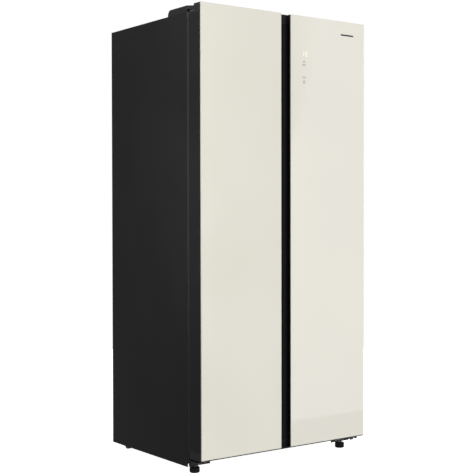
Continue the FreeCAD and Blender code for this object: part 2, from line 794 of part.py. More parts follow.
def hinge_screws(design):
    """Screws of the four hinges: a flat round head on a short shank each."""
    screws = []
    for side in SIDES:
        for x, y in top_screws(side):
            top = "tongue_base + tongue_thickness"
            shank = design.cylinder("screw_shank", f"{top} - cabinet_top", (x, y, "cabinet_top"))
            head = design.cylinder("screw_head", "screw_head / 2", (x, y, top))
            screws.append(design.fuse([shank, head]))
        for x, z in bottom_screws(side):
            face = "cabinet_front - bracket_sheet"
            shank = design.cylinder("screw_shank", "bracket_sheet", (x, face, z), "y")
            head = design.cylinder("screw_head", "screw_head / 2", (x, f"{face} - screw_head / 2", z), "y")
            screws.append(design.fuse([shank, head]))
    design.node(design.group(screws), "hinge_screws")


def shelves(design, side, duct):
    """Toughened glass shelves on the liner's ribs."""
    low, high = liner_span(side, "shelf_play")
    panes = [
        design.box((low, "shelf_front", base), (high, f"{duct} - shelf_play", f"{base} + shelf_glass"))
        for base in shelf_heights(design)[1:]
    ]
    design.node(design.group(panes), f"{side.name}_shelves")


def crisper_covers(design):
    """Glass covers over the upper drawers."""
    panes = []
    top = "cover_shelf + shelf_glass"
    for side, duct in ((FREEZER, "freezer_duct"), (FRIDGE, "fridge_duct")):
        low, high = liner_span(side, "shelf_play")
        panes.append(design.box((low, "shelf_front", "cover_shelf"), (high, f"{duct} - shelf_play", top)))
    design.node(design.group(panes), "crisper_covers")


def duct_cover(design, side, duct):
    """Air panel at the back of a compartment, with a column of slots."""
    body = design.body(f"{side.name}_duct_cover")
    low, high = liner_span(side, "running_clearance")
    base = "step_top + liner_wall"
    sketch = upright(design, body, f"{duct} + duct_wall")
    design.rectangle(sketch, (low, base), (high, "room_roof - liner_wall - shelf_play"))
    design.pad(body, sketch, "duct_wall")
    middle = f"(({low}) + ({high})) / 2"
    first = "step_top + vent_pitch + high_drawer_height"
    slot = upright(design, body, duct)
    design.rectangle(
        slot, (f"{middle} - vent_width / 2", first), (f"{middle} + vent_width / 2", f"{first} + vent_height")
    )
    cut = design.pocket(body, slot, "2 * duct_wall", forwards=False)
    if side is FRIDGE:
        design.line_of(body, cut, "Z_Axis", "vent_pitch", "2 * shelf_count + 1")
        return
    fan_hole = upright(design, body, duct)
    design.circle(fan_hole, (middle, "fan_height"), "fan_radius + fan_gap")
    design.pocket(body, fan_hole, "2 * duct_wall", forwards=False)


def finned_coil(design, label, low, high, rows):
    """Pack of upright fins on rows of straight tubes along X, held by two end plates."""
    (x0, y0, z0), (x1, y1, z1) = low, high
    pitch = f"(({x1}) - ({x0}) - fin_sheet) / (fin_count - 1)"
    count = round(design.value("fin_count"))
    parts = []
    for i in range(count):
        start = f"{x0} + {i} * {pitch}"
        parts.append(design.box((start, y0, z0), (f"{start} + fin_sheet", y1, z1)))
    for quarter in (1, 3):
        for row in range(round(design.value(rows))):
            y = f"{y0} + {quarter} * (({y1}) - ({y0})) / 4"
            z = f"{z0} + {2 * row + 1} * (({z1}) - ({z0})) / (2 * {rows})"
            parts.append(design.cylinder("tube_radius", f"({x1}) - ({x0})", (x0, y, z), "x"))
    design.node(design.fuse(parts), label)


def evaporator(design):
    low, high = liner_span(FREEZER, "freezer_duct_gap / 2")
    back = "room_back - liner_wall"
    finned_coil(
        design,
        "evaporator",
        (low, f"{back} - coil_depth", "step_top + coil_depth"),
        (high, back, "step_top + coil_depth + evaporator_height"),
        "evaporator_rows",
    )


def defrost_heater(design):
    """Glass tube heater with two rubber ends, hung under the evaporator."""
    low, high = liner_span(FREEZER, "freezer_duct_gap / 2")
    y = "room_back - liner_wall - coil_depth / 2"
    z = "step_top + coil_depth - 2 * tube_radius"
    tube = design.cylinder("tube_radius", f"({high}) - ({low})", (low, y, z), "x")
    ends = [
        design.box(
            (start, f"{y} - 2 * tube_radius", f"{z} - 2 * tube_radius"),
            (f"{start} + 3 * tube_radius", f"{y} + 2 * tube_radius", "step_top + coil_depth"),
        )
        for start in (low, f"{high} - 3 * tube_radius")
    ]
    design.node(design.fuse([tube] + ends), "defrost_heater")


def fan_motor(design, label, at, axis, length, foot):
    """Motor can with its shaft and a strap to what carries it."""
    x, y, z = at
    can = design.cylinder("fan_hub", length, at, axis)
    step = {"x": f"{x} - fan_depth - tube_radius", "y": f"{y} - fan_depth - tube_radius"}[axis]
    start = (step, y, z) if axis == "x" else (x, step, z)
    shaft = design.cylinder("fan_shaft", "fan_depth + tube_radius", start, axis)
    design.node(design.fuse([can, shaft] + foot), label)


def evaporator_fan(design):
    """Fan in the freezer's air panel: the motor on the liner's back, the blades in the opening."""
    low, high = liner_span(FREEZER)
    x = f"(({low}) + ({high})) / 2"
    back = "room_back - liner_wall"
    face = "freezer_duct + duct_wall + fan_depth"
    strap = design.box(
        (f"{x} - fan_radius", f"{back} - duct_wall", "fan_height - fan_hub / 2"),
        (f"{x} + fan_radius", back, "fan_height + fan_hub / 2"),
    )
    fan_motor(design, "evaporator_fan_motor", (x, face, "fan_height"), "y", f"{back} - ({face})", [strap])
    blades = Placement(Vector(), Rotation(Vector(1, 0, 0), -90))
    turning = f"{face} - fan_depth - tube_radius / 2"
    fan_blade(design, "evaporator_fan_blade", (x, turning, "fan_height"), blades)


def condenser_fan(design):
    """Fan between the compressor and the condenser, on a strap from the cross plate."""
    floor = "machine_floor + base_sheet"
    z = f"{floor} + fan_radius + fan_gap + tray_height"
    y = "(machine_front + rear) / 2"
    x = "condenser_fan_x"
    strap = design.box(
        (f"{x} + fan_hub", f"{y} - fan_hub / 2", floor),
        (f"{x} + 2 * fan_hub", f"{y} + fan_hub / 2", f"{z} - fan_hub / 2"),
    )
    fan_motor(design, "condenser_fan_motor", (x, y, z), "x", "2 * fan_hub", [strap])
    blades = Placement(Vector(), Rotation(Vector(0, 1, 0), 90))
    fan_blade(design, "condenser_fan_blade", (f"{x} - fan_depth - tube_radius / 2", y, z), blades)


def fan_blade(design, label, at, turn):
    """Hub with pitched blades round it; the axis is the body's own Z."""
    body = design.doc.addObject("PartDesign::Body", label)
    body.Placement = turn
    design.place(body, at)
    design.node(body, label)
    ring = design.sketch(body, "XY_Plane")
    design.circle(ring, ("0", "0"), "fan_hub")
    design.circle(ring, ("0", "0"), "fan_shaft + running_clearance")
    design.pad(body, ring, "fan_depth")
    blade = design.sketch(body, "YZ_Plane", "fan_hub - duct_wall")
    design.outline(
        blade,
        [
            ("-fan_hub", "shell_sheet"),
            ("-fan_hub + duct_wall", "shell_sheet"),
            ("fan_hub / 2", "fan_depth - shell_sheet"),
            ("fan_hub / 2 - duct_wall", "fan_depth - shell_sheet"),
        ],
    )
    pad = design.pad(body, blade, "fan_radius - fan_hub")
    design.ring_of(body, pad, "Z_Axis", "fan_blades")


def compressor(design):
    """Domed steel pot on its foot plate, with three pipe stubs."""
    base = "machine_floor + base_sheet + grommet_height"
    body = design.body("compressor", ("compressor_x", "(machine_front + rear) / 2", base))
    foot = design.sketch(body, "XY_Plane")
    design.rectangle(
        foot, ("-compressor_foot", "-compressor_radius"), ("compressor_foot", "compressor_radius")
    )
    design.pad(body, foot, "bracket_sheet")
    pot = design.sketch(body, "XZ_Plane")
    rise = "compressor_height"
    design.outline(pot, [("0", "0"), ("compressor_radius", "0"), ("compressor_radius", rise), ("0", rise)])
    design.revolve(body, pot)
    top = design.value(rise)
    shoulder = "compressor_radius / 2"
    design.fillet(body, lambda edge: edge.BoundBox.ZMin > top - 1 and edge.BoundBox.XLength > 1, shoulder)


def compressor_grommets(design):
    """Rubber feet under the corners of the compressor's foot plate."""
    y = "(machine_front + rear) / 2"
    reach_x = "(compressor_foot - grommet_height)"
    reach_y = "(compressor_radius - grommet_height)"
    feet = [
        design.cylinder(
            "grommet_height",
            "grommet_height",
            (f"compressor_x + {i} * {reach_x}", f"{y} + {j} * {reach_y}", "machine_floor + base_sheet"),
        )
        for i in (-1, 1)
        for j in (-1, 1)
    ]
    design.node(design.group(feet), "compressor_grommets")


def condenser(design):
    floor = "machine_floor + base_sheet + tray_height"
    finned_coil(
        design,
        "condenser",
        ("condenser_left + tray_wall", "machine_front + rear_wall", floor),
        ("condenser_right - tray_wall", "machine_rear - rear_wall", f"{floor} + condenser_height"),
        "condenser_rows",
    )


def drip_tray(design):
    """Open tray under the condenser that catches the defrost water."""
    floor = "machine_floor + base_sheet"
    body = design.body("drip_tray")
    sketch = design.sketch(body, "XY_Plane", floor)
    y0 = "machine_front + rear_wall - tray_height"
    y1 = "machine_rear - rear_wall + tray_height"
    design.rectangle(sketch, ("condenser_left", y0), ("condenser_right", y1))
    design.pad(body, sketch, "tray_height")
    hollow = design.sketch(body, "XY_Plane", f"{floor} + tray_wall")
    wall = "tray_wall"
    design.rectangle(
        hollow,
        (f"condenser_left + {wall}", f"{y0} + {wall}"),
        (f"condenser_right - {wall}", f"{y1} - {wall}"),
    )
    design.pocket(body, hollow, "tray_height")


def filter_drier(design):
    """Copper drier against the step wall: a can with necked ends, turned as one piece."""
    body = design.body("filter_drier", ("drier_x", "machine_front + drier_radius", "machine_ceiling / 2"))
    sketch = design.sketch(body, "XZ_Plane")
    neck = "tube_radius"
    length = "drier_length"
    design.outline(
        sketch,
        [
            ("0", "0"),
            (neck, "0"),
            (neck, "drier_radius"),
            ("drier_radius", "2 * drier_radius"),
            ("drier_radius", f"{length} - 2 * drier_radius"),
            (neck, f"{length} - drier_radius"),
            (neck, length),
            ("0", length),
        ],
    )
    design.revolve(body, sketch)


def machine_cover(design):
    """Rear cover of the machine space with rows of air slots and the cord's hole."""
    body = design.body("machine_cover")
    sketch = upright(design, body, "machine_rear + base_sheet")
    reach = "inner_side - 2 * base_sheet"
    design.rectangle(sketch, (f"-({reach})", "machine_floor + base_sheet"), (reach, "machine_ceiling"))
    design.circle(sketch, ("inlet_x", "inlet_z"), "inlet_radius")
    design.pad(body, sketch, "base_sheet")
    for start in ("condenser_left + rear_wall", "compressor_x - compressor_radius"):
        slot = upright(design, body, "machine_rear")
        low = "machine_ceiling / 2"
        design.rectangle(slot, (start, low), (f"{start} + vent_width", f"{low} + vent_height"))
        cut = design.pocket(body, slot, "2 * base_sheet", forwards=False)
        design.line_of(body, cut, "Z_Axis", "2 * vent_height", "slot_rows")


def power_inlet(design):
    """Bush in the machine cover that the mains cord passes through."""
    turn = Placement(Vector(), Rotation(Vector(1, 0, 0), -90))
    body = design.doc.addObject("PartDesign::Body", "power_inlet")
    body.Placement = turn
    design.place(body, ("inlet_x", "machine_rear - 3 * base_sheet", "inlet_z"))
    design.node(body, "power_inlet")
    sketch = design.sketch(body, "XZ_Plane")
    waist = "inlet_radius - seal_play"
    rim = "inlet_radius + bracket_sheet"
    bore = "inlet_radius / 2"
    design.outline(
        sketch,
        [
            (bore, "0"),
            (rim, "0"),
            (rim, "3 * base_sheet"),
            (waist, "3 * base_sheet"),
            (waist, "4 * base_sheet"),
            (rim, "4 * base_sheet"),
            (rim, "5 * base_sheet"),
            (bore, "5 * base_sheet"),
        ],
    )
    design.revolve(body, sketch)


def control_board(design):
    """Main circuit board on the freezer side of the machine space, with its tall components."""
    x = "-inner_side + base_sheet"
    front = "machine_front + rear_wall"
    back = "machine_rear - rear_wall"
    low = (x, front, "machine_ceiling / 3")
    parts = [design.box(low, (f"{x} + board_sheet", back, "machine_ceiling - step_wall"))]
    pitch = f"({back} - ({front})) / relay_count"
    for i in range(round(design.value("relay_count"))):
        y = f"{front} + {i} * {pitch} + {pitch} / 4"
        parts.append(
            design.box(
                (x, y, "machine_ceiling / 2"),
                (f"{x} + board_sheet + fan_depth", f"{y} + {pitch} / 2", "machine_ceiling / 2 + 2 * fan_hub"),
            )
        )
    design.node(design.fuse(parts), "control_board")


def interior_lights(design):
    """Lamp strip on the ceiling of each compartment."""
    lamps = []
    for side in SIDES:
        low, high = liner_span(side, "vent_width")
        top = "room_roof - liner_wall"
        lamps.append(
            design.box(
                (low, "shelf_front", f"{top} - vent_height"),
                (high, "shelf_front + 4 * vent_height", top),
            )
        )
    design.node(design.group(lamps), "interior_lights")


def roller_axles(design):
    """Pins of the rear rollers, across their brackets."""
    reach = "roller_width / 2 + roller_side_gap + base_sheet"
    pins = []
    for side in SIDES:
        low, high = side.span(side.x(f"roller_inset - ({reach})"), side.x(f"roller_inset + {reach}"))
        start = (low, "roller_y", "roller_radius")
        pins.append(design.cylinder("axle_radius", f"({high}) - ({low})", start, "x"))
    design.node(design.group(pins), "roller_axles")


# Pieces that move on the cabinet


def rear_roller(design, side, label):
    """Plastic wheel with rounded rims on its axle."""
    body = design.doc.addObject("PartDesign::Body", label)
    body.Placement = Placement(Vector(), Rotation(Vector(0, 1, 0), 90))
    design.place(body, (f"{side.x('roller_inset')} - roller_width / 2", "roller_y", "roller_radius"))
    design.node(body, label)
    ring = design.sketch(body, "XY_Plane")
    design.circle(ring, ("0", "0"), "roller_radius")
    design.circle(ring, ("0", "0"), "axle_radius + running_clearance")
    design.pad(body, ring, "roller_width")
    rim = 2 * design.value("roller_radius")
    design.fillet(body, lambda edge: edge.BoundBox.YLength > rim - 1 and edge.isClosed(), "bracket_sheet / 2")


def levelling_foot(design, side, label):
    """Ribbed round foot with its threaded stud."""
    body = design.body(label, (side.x("foot_inset"), "foot_y", "0"))
    sketch = design.sketch(body, "XZ_Plane")
    stud_top = "plate_height - 2 * bracket_sheet"
    design.outline(
        sketch,
        [
            ("0", "0"),
            ("foot_radius - bracket_sheet", "0"),
            ("foot_radius", "bracket_sheet"),
            ("foot_radius", "foot_height - bracket_sheet"),
            ("foot_radius - bracket_sheet", "foot_height"),
            ("stud_radius", "foot_height"),
            ("stud_radius", stud_top),
            ("0", stud_top),
        ],
    )
    design.revolve(body, sketch)
    flute = design.sketch(body, "XY_Plane")
    design.circle(flute, ("foot_radius + shell_sheet", "0"), "bracket_sheet / 2 + shell_sheet / 2")
    cut = design.pocket(body, flute, "foot_height")
    design.ring_of(body, cut, "Z_Axis", "foot_flutes")


def drawer(design, side, label, base, top, back):
    """Open-topped drawer that hangs by its rim on the liner's rails."""
    body = design.body(label)
    low, high = liner_span(side, "drawer_inset")
    sketch = design.sketch(body, "XY_Plane", base)
    design.rectangle(sketch, (low, "shelf_front"), (high, back))
    design.pad(body, sketch, f"{top} - ({base})")
    rim_low, rim_high = liner_span(side, "drawer_inset - drawer_flange")
    rim = design.sketch(body, "XY_Plane", f"{top} - drawer_wall")
    design.rectangle(rim, (rim_low, "shelf_front"), (rim_high, back))
    design.pad(body, rim, "drawer_wall")
    hollow = design.sketch(body, "XY_Plane", f"{base} + drawer_wall")
    wall = "drawer_wall"
    design.rectangle(
        hollow, (f"({low}) + {wall}", f"shelf_front + {wall}"), (f"({high}) - {wall}", f"{back} - {wall}")
    )
    design.pocket(body, hollow, f"{top} - ({base})")


# Doors


def door_glass(design, side):
    """Toughened front panel, from the outer side to the grip channel."""
    body = design.body(f"{side.name}_door_glass")
    low, high = side.span(side.x("0"), side.glass_edge())
    sketch = upright(design, body, "glass_back")
    design.rectangle(sketch, (low, "glass_base"), (high, "overall_height"))
    design.pad(body, sketch, "glass_thickness")


def door_side_panel(design, side):
    """Black steel sheet down the hinge side of a door."""
    low, high = side.span(side.x("0"), side.x("side_sheet"))
    sheet = design.box(
        (low, "glass_back", "foot_cap_top"), (high, "door_back", "cap_base"), "SideSheet"
    )
    design.node(sheet, f"{side.name}_door_side_panel")


def grip_places(side):
    """X of the pocket's far wall, of that wall's outside and of the free edge wall's inside."""
    pocket = side.outward_of(side.glass_edge(), "pocket_reach")
    outside = side.outward_of(side.glass_edge(), "pocket_reach + grip_wall")
    inside = side.outward_of(side.seam(), "grip_wall")
    return pocket, outside, inside


def door_grip(design, side):
    """Profile along the free edge: grip channel, finger pocket behind the glass and edge wall."""
    body = design.body(f"{side.name}_door_grip")
    pocket, outside, inside = grip_places(side)
    edge = side.glass_edge()
    seam = side.seam()
    lip = "glass_back + grip_wall"
    liner_face = "door_back - liner_wall"
    sketch = design.sketch(body, "XY_Plane", "foot_cap_top")
    design.outline(
        sketch,
        [
            (outside, "glass_back"),
            (edge, "glass_back"),
            (edge, lip),
            (pocket, lip),
            (pocket, "channel_front"),
            (seam, "channel_front"),
            (seam, liner_face),
            (inside, liner_face),
            (inside, "channel_back"),
            (outside, "channel_back"),
        ],
    )
    design.pad(body, sketch, "cap_base - foot_cap_top")
    stop = design.sketch(body, "XY_Plane", "foot_cap_top")
    design.rectangle(stop, (pocket, "glass_back"), (edge, "channel_back"))
    design.pad(body, stop, "pocket_end - foot_cap_top")


def door_foam(design, side):
    """Insulation of a door, between its glass, side sheet, grip profile, caps and liner."""
    body = design.body(f"{side.name}_door_foam")
    _, outside, inside = grip_places(side)
    face = side.x("side_sheet")
    liner_face = "door_back - liner_wall"
    sketch = design.sketch(body, "XY_Plane", "foot_cap_top")
    design.outline(
        sketch,
        [
            (face, "glass_back"),
            (outside, "glass_back"),
            (outside, "channel_back"),
            (inside, "channel_back"),
            (inside, liner_face),
            (face, liner_face),
        ],
    )
    design.pad(body, sketch, "cap_base - foot_cap_top")
    low, high = recess_span(side)
    hollow = upright(design, body, liner_face)
    design.rectangle(hollow, (low, "recess_bottom"), (high, "recess_top"))
    design.pocket(body, hollow, f"{liner_face} - recess_front")
    if side is FRIDGE:
        board = upright(design, body, "glass_back")
        design.rectangle(board, ("board_left", "board_base"), BOARD_CORNER)
        design.pocket(body, board, "board_thickness", forwards=False)


BOARD_CORNER = ("board_left + board_width", "board_base + board_height")


def recess_span(side, inwards="0"):
    """The outer faces of the rim in a door's back in rising X, each moved in by a distance."""
    hinge_side = side.x(f"hinge_inset + bin_hinge_gap - dyke_wall + {inwards}")
    free_side = side.outward_of(side.inner, f"liner_wall + recess_gap + {inwards}")
    return side.span(hinge_side, free_side)


def door_end_caps(design, side):
    """Moulded caps that close a door's top and foot, bored for the hinge pins."""
    outer = side.x("0")
    low, high = side.span(outer, side.seam())
    channel_low, channel_high = side.span(side.glass_edge(), side.seam())
    centre = side.x("hinge_inset")
    step = "front + cap_step"
    top = design.fuse(
        [
            design.box((low, "glass_back", "cap_base"), (high, step, "overall_height")),
            design.box((low, "glass_back", "cap_base"), (high, "door_back", "cap_rear_top")),
        ]
    )
    under = "cap_base - shell_sheet"
    over = "2 * cap_base"
    bore = "pin_radius + running_clearance"
    top_holes = [
        design.box((channel_low, "front", under), (channel_high, "channel_front", over)),
        design.cylinder(bore, "2 * cap_height", (centre, "hinge_y", under)),
    ]
    foot = design.fuse(
        [
            design.box((low, "glass_back", "door_clearance"), (high, "door_back", "foot_cap_top")),
            design.box((low, "front", "door_clearance"), (high, "door_back", "glass_base")),
        ]
    )
    foot_holes = [
        design.box(
            (channel_low, "front", "glass_base"),
            (channel_high, "channel_front", "foot_cap_top + shell_sheet"),
        ),
        design.cylinder(
            bore, "foot_cap_height - bracket_sheet", (centre, "hinge_y", "door_clearance - shell_sheet")
        ),
    ]
    caps = design.group([design.cut(top, top_holes), design.cut(foot, foot_holes)])
    design.node(caps, f"{side.name}_door_end_caps")


def door_liner(design, side):
    """Moulded back of a door: a flat rim and the raised hollow that holds the bins."""
    body = design.body(f"{side.name}_door_liner")
    low, high = side.span(side.x("side_sheet"), side.seam())
    rim = upright(design, body, "door_back")
    design.rectangle(rim, (low, "foot_cap_top"), (high, "cap_base"))
    design.pad(body, rim, "liner_wall")
    low, high = recess_span(side)
    dyke = upright(design, body, "dyke_back")
    design.rectangle(dyke, (low, "recess_bottom"), (high, "recess_top"))
    design.pad(body, dyke, "dyke_back - recess_front")
    low, high = recess_span(side, "dyke_wall")
    hollow = upright(design, body, "dyke_back")
    design.rectangle(hollow, (low, "recess_bottom + dyke_wall"), (high, "recess_top - dyke_wall"))
    design.pocket(body, hollow, "dyke_back - recess_front - liner_wall")


def door_gasket(design, side):
    """Magnetic seal round the mouth of the compartment."""
    body = design.body(f"{side.name}_door_gasket")
    sketch = upright(design, body, "cabinet_front - seal_play")
    for reach in ("seal_inset + seal_width", "seal_inset"):
        outer = side.outward_of(side.outer, reach)
        inner = side.outward_of(side.inner, f"-({reach})")
        low, high = side.span(outer, inner)
        design.rectangle(sketch, (low, f"room_floor - ({reach})"), (high, f"room_roof + {reach}"))
    design.pad(body, sketch, "seal_gap - seal_play")


def door_bins(design, side):
    """Clear balcony bins held between the rims of the door's hollow."""
    low, high = recess_span(side, "dyke_wall")
    wall = "bin_wall"
    bins = []
    for i in range(round(design.value("bin_count"))):
        base = f"recess_bottom + 2 * dyke_wall + {i} * bin_pitch"
        face = "recess_front + liner_wall"
        outside = design.box((low, face, base), (high, "bin_back", f"{base} + bin_height"))
        inside = design.box(
            (f"({low}) + {wall}", f"{face} + {wall}", f"{base} + {wall}"),
            (f"({high}) - {wall}", f"bin_back - {wall}", f"{base} + 2 * bin_height"),
        )
        bins.append(design.cut(outside, [inside]))
    design.node(design.group(bins), f"{side.name}_door_bins")


def display_board(design):
    """Touch and display board behind the fridge door's glass."""
    body = design.body("display_board")
    sketch = upright(design, body, "glass_back + board_thickness")
    design.rectangle(sketch, ("board_left", "board_base"), BOARD_CORNER)
    design.pad(body, sketch, "board_thickness")


# The whole object


def build(design):
    """Make every sub-part."""
    for make in (
        cabinet_shell, front_frame, rear_panel, cabinet_foam, base_frame, compressor_plate, hinge_cover,
        hinge_screws, crisper_covers, evaporator, defrost_heater, evaporator_fan, condenser_fan, compressor,
        compressor_grommets, condenser, drip_tray, filter_drier, machine_cover, power_inlet, control_board,
        interior_lights, roller_axles, display_board,
    ):
        make(design)
    for side, duct in ((FREEZER, "freezer_duct"), (FRIDGE, "fridge_duct")):
        liner(design, side, duct)
        shelves(design, side, duct)
        duct_cover(design, side, duct)
        top_hinge(design, side)
        bottom_hinge(design, side)
        for make in (door_glass, door_side_panel, door_grip, door_foam, door_end_caps, door_liner,
                     door_gasket, door_bins):
            make(design, side)
        name = {"freezer": "freezer_drawer", "fridge": "crisper"}[side.name]
        drawer(design, side, f"{name}_lower", "low_drawer_base", "low_drawer_top", "low_drawer_back")
        upper_back = f"{duct} - drawer_back_gap"
        drawer(design, side, f"{name}_upper", "high_drawer_base", "high_drawer_top", upper_back)
    for side, place in ((FREEZER, "left"), (FRIDGE, "right")):
        rear_roller(design, side, f"rear_roller_{place}")
        levelling_foot(design, side, f"levelling_foot_{place}")


def check(design):
    """Stop if anything in the document failed, a sub-part is empty or a cut took nothing away."""
    for thing in design.doc.Objects:
        bad = [state for state in thing.State if state in ("Invalid", "Error")]
        if bad:
            raise RuntimeError(f"{thing.Label}: {bad}")
    for cut, base in design.cuts:
        if base.Shape.Volume - cut.Shape.Volume < LEAST_CUT:
            raise RuntimeError(f"{cut.Label} takes nothing away")
    for thing in design.nodes:
        if thing.Shape.isNull() or not thing.Shape.isValid() or not thing.Shape.Solids:
            raise RuntimeError(f"{thing.Label}: no valid solid")


def export(design):
    os.makedirs("parts", exist_ok=True)
    for thing in design.nodes:
        thing.Shape.exportStep(f"parts/{thing.Label}.step")


def main():
    design = Design()
    build(design)
    design.doc.recompute()
    check(design)
    export(design)


main()
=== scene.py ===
import logging
import math
from dataclasses import dataclass
from enum import Enum
from typing import Callable, Iterable, Mapping, Sequence

import bmesh
import bpy
from mathutils import Matrix, Vector


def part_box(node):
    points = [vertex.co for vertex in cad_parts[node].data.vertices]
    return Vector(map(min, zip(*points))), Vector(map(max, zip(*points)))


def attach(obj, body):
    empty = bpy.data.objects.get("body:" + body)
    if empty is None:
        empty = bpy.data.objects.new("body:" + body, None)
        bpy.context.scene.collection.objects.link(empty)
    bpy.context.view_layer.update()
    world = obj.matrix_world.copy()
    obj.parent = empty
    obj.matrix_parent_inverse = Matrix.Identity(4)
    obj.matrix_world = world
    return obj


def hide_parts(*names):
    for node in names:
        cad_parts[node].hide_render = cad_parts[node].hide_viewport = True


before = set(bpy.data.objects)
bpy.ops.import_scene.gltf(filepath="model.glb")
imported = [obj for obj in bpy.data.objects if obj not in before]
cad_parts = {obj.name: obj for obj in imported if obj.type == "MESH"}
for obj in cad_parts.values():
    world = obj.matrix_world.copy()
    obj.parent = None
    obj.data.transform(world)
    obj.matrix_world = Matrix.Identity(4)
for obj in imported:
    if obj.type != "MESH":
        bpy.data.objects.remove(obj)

log = logging.getLogger("side_by_side_refrigerator")

MM = 0.001
# Distance in metres under which two points of a piece are one, and the same for CAD triangles.
SAME = 1e-6
SAME_IN_CAD = 1e-5
Corner = tuple[float, float, float]


# Shared small tools


def linear(code: str) -> tuple[float, float, float, float]:
    """Turn an sRGB hex colour into the linear values that a shader takes.

    Args:
        code: Six hex digits.

    Returns:
        Linear red, green, blue and an alpha of one.
    """
    values = [int(code[i : i + 2], 16) / 255 for i in (0, 2, 4)]
    bent = [v / 12.92 if v <= 0.04045 else ((v + 0.055) / 1.055) ** 2.4 for v in values]
    return (bent[0], bent[1], bent[2], 1.0)


def per_metre(size_mm: float) -> float:
    """Texture scale of a grain of that size, in Object coordinates."""
    return 1000.0 / size_mm


def add_node(
    tree: bpy.types.NodeTree,
    kind: str,
    settings: Mapping[str | int, object] | None = None,
    links: Mapping[str | int, bpy.types.NodeSocket] | None = None,
) -> bpy.types.Node:
    """Add a node, set its properties or input values and link its inputs.

    Args:
        tree: The material's node tree.
        kind: Blender's name of the node type.
        settings: Property names or input names with their values.
        links: Input names with the sockets that feed them.

    Returns:
        The new node.
    """
    node = tree.nodes.new(kind)
    for key, value in (settings or {}).items():
        if isinstance(key, str) and key in node.bl_rna.properties:
            setattr(node, key, value)
        else:
            node.inputs[key].default_value = value
    for key, socket in (links or {}).items():
        tree.links.new(socket, node.inputs[key])
    return node


def set_ramp(node: bpy.types.Node, stops: Sequence[tuple[float, str]]) -> None:
    """Give a Color Ramp its stops.

    Args:
        node: A ShaderNodeValToRGB.
        stops: Two places from 0 to 1, each with an sRGB hex colour.
    """
    for element, (place, code) in zip(node.color_ramp.elements, stops):
        element.position = place
        element.color = linear(code)


# Finishes


@dataclass(frozen=True)
class Finish:
    """A real surface: its colour and gloss, and the grain that its making left.

    Attributes:
        name: Common name of the material and how it was made.
        colour: Its sRGB hex colour.
        roughness: Shader roughness.
        metallic: One on bare metal.
        ior: Index of refraction of what isn't metal.
        grain_mm: Size of the grain of its surface.
        relief_mm: Height of that grain.
        specular: Strength of its mirror part, half being the plain value for its index.
    """

    name: str
    colour: str
    roughness: float
    metallic: float = 0.0
    ior: float = 1.5
    grain_mm: float = 2.0
    relief_mm: float = 0.01
    specular: float = 0.5

    def material(self) -> bpy.types.Material:
        """Make the material, or find it if it was made before."""
        found = bpy.data.materials.get(self.name)
        if found:
            return found
        made = bpy.data.materials.new(self.name)
        made.use_nodes = True
        tree = made.node_tree
        shader = tree.nodes["Principled BSDF"]
        shader.inputs["Base Color"].default_value = linear(self.colour)
        shader.inputs["Roughness"].default_value = self.roughness
        shader.inputs["Metallic"].default_value = self.metallic
        if not self.metallic:
            shader.inputs["IOR"].default_value = self.ior
            shader.inputs["Specular IOR Level"].default_value = self.specular
        self.texture(tree, shader)
        return made

    def place(self, tree: bpy.types.NodeTree, stretch: Corner = (1.0, 1.0, 1.0)) -> bpy.types.NodeSocket:
        """Object coordinates, stretched along an axis where the grain is drawn out."""
        spot = add_node(tree, "ShaderNodeTexCoord")
        turned = add_node(tree, "ShaderNodeMapping", {"Scale": stretch}, {"Vector": spot.outputs["Object"]})
        return turned.outputs["Vector"]

    def noise(self, tree: bpy.types.NodeTree, size_mm: float, detail: float = 3.0,
              stretch: Corner = (1.0, 1.0, 1.0)) -> bpy.types.NodeSocket:
        """Noise with cells of about that size."""
        node = add_node(
            tree,
            "ShaderNodeTexNoise",
            {"Scale": per_metre(size_mm), "Detail": detail},
            {"Vector": self.place(tree, stretch)},
        )
        return node.outputs["Fac"]

    def cells(self, tree: bpy.types.NodeTree) -> bpy.types.Node:
        """Cells as large as the finish's own grain."""
        return add_node(
            tree, "ShaderNodeTexVoronoi", {"Scale": per_metre(self.grain_mm)}, {"Vector": self.place(tree)}
        )

    def bump(self, tree: bpy.types.NodeTree, shader: bpy.types.Node, height: bpy.types.NodeSocket,
             strength: float = 1.0) -> None:
        """Raise the surface by the finish's relief."""
        node = add_node(
            tree,
            "ShaderNodeBump",
            {"Strength": strength, "Distance": self.relief_mm * MM},
            {"Height": height},
        )
        tree.links.new(node.outputs["Normal"], shader.inputs["Normal"])

    def tint(self, tree: bpy.types.NodeTree, shader: bpy.types.Node, source: bpy.types.NodeSocket,
             dark: str, light: str) -> None:
        """Vary the colour between two near tones."""
        ramp = add_node(tree, "ShaderNodeValToRGB", None, {"Fac": source})
        set_ramp(ramp, ((0.35, dark), (0.65, light)))
        tree.links.new(ramp.outputs["Color"], shader.inputs["Base Color"])

    def gloss(self, tree: bpy.types.NodeTree, shader: bpy.types.Node, source: bpy.types.NodeSocket,
              spread: float) -> None:
        """Vary the roughness about its own value by a spread each way."""
        node = add_node(
            tree,
            "ShaderNodeMapRange",
            {"To Min": self.roughness - spread, "To Max": self.roughness + spread},
            {"Value": source},
        )
        tree.links.new(node.outputs["Result"], shader.inputs["Roughness"])

    def texture(self, tree: bpy.types.NodeTree, shader: bpy.types.Node) -> None:
        """Fine even grain, as on a plain moulding."""
        self.bump(tree, shader, self.noise(tree, self.grain_mm))
        self.gloss(tree, shader, self.noise(tree, 40.0), 0.04)


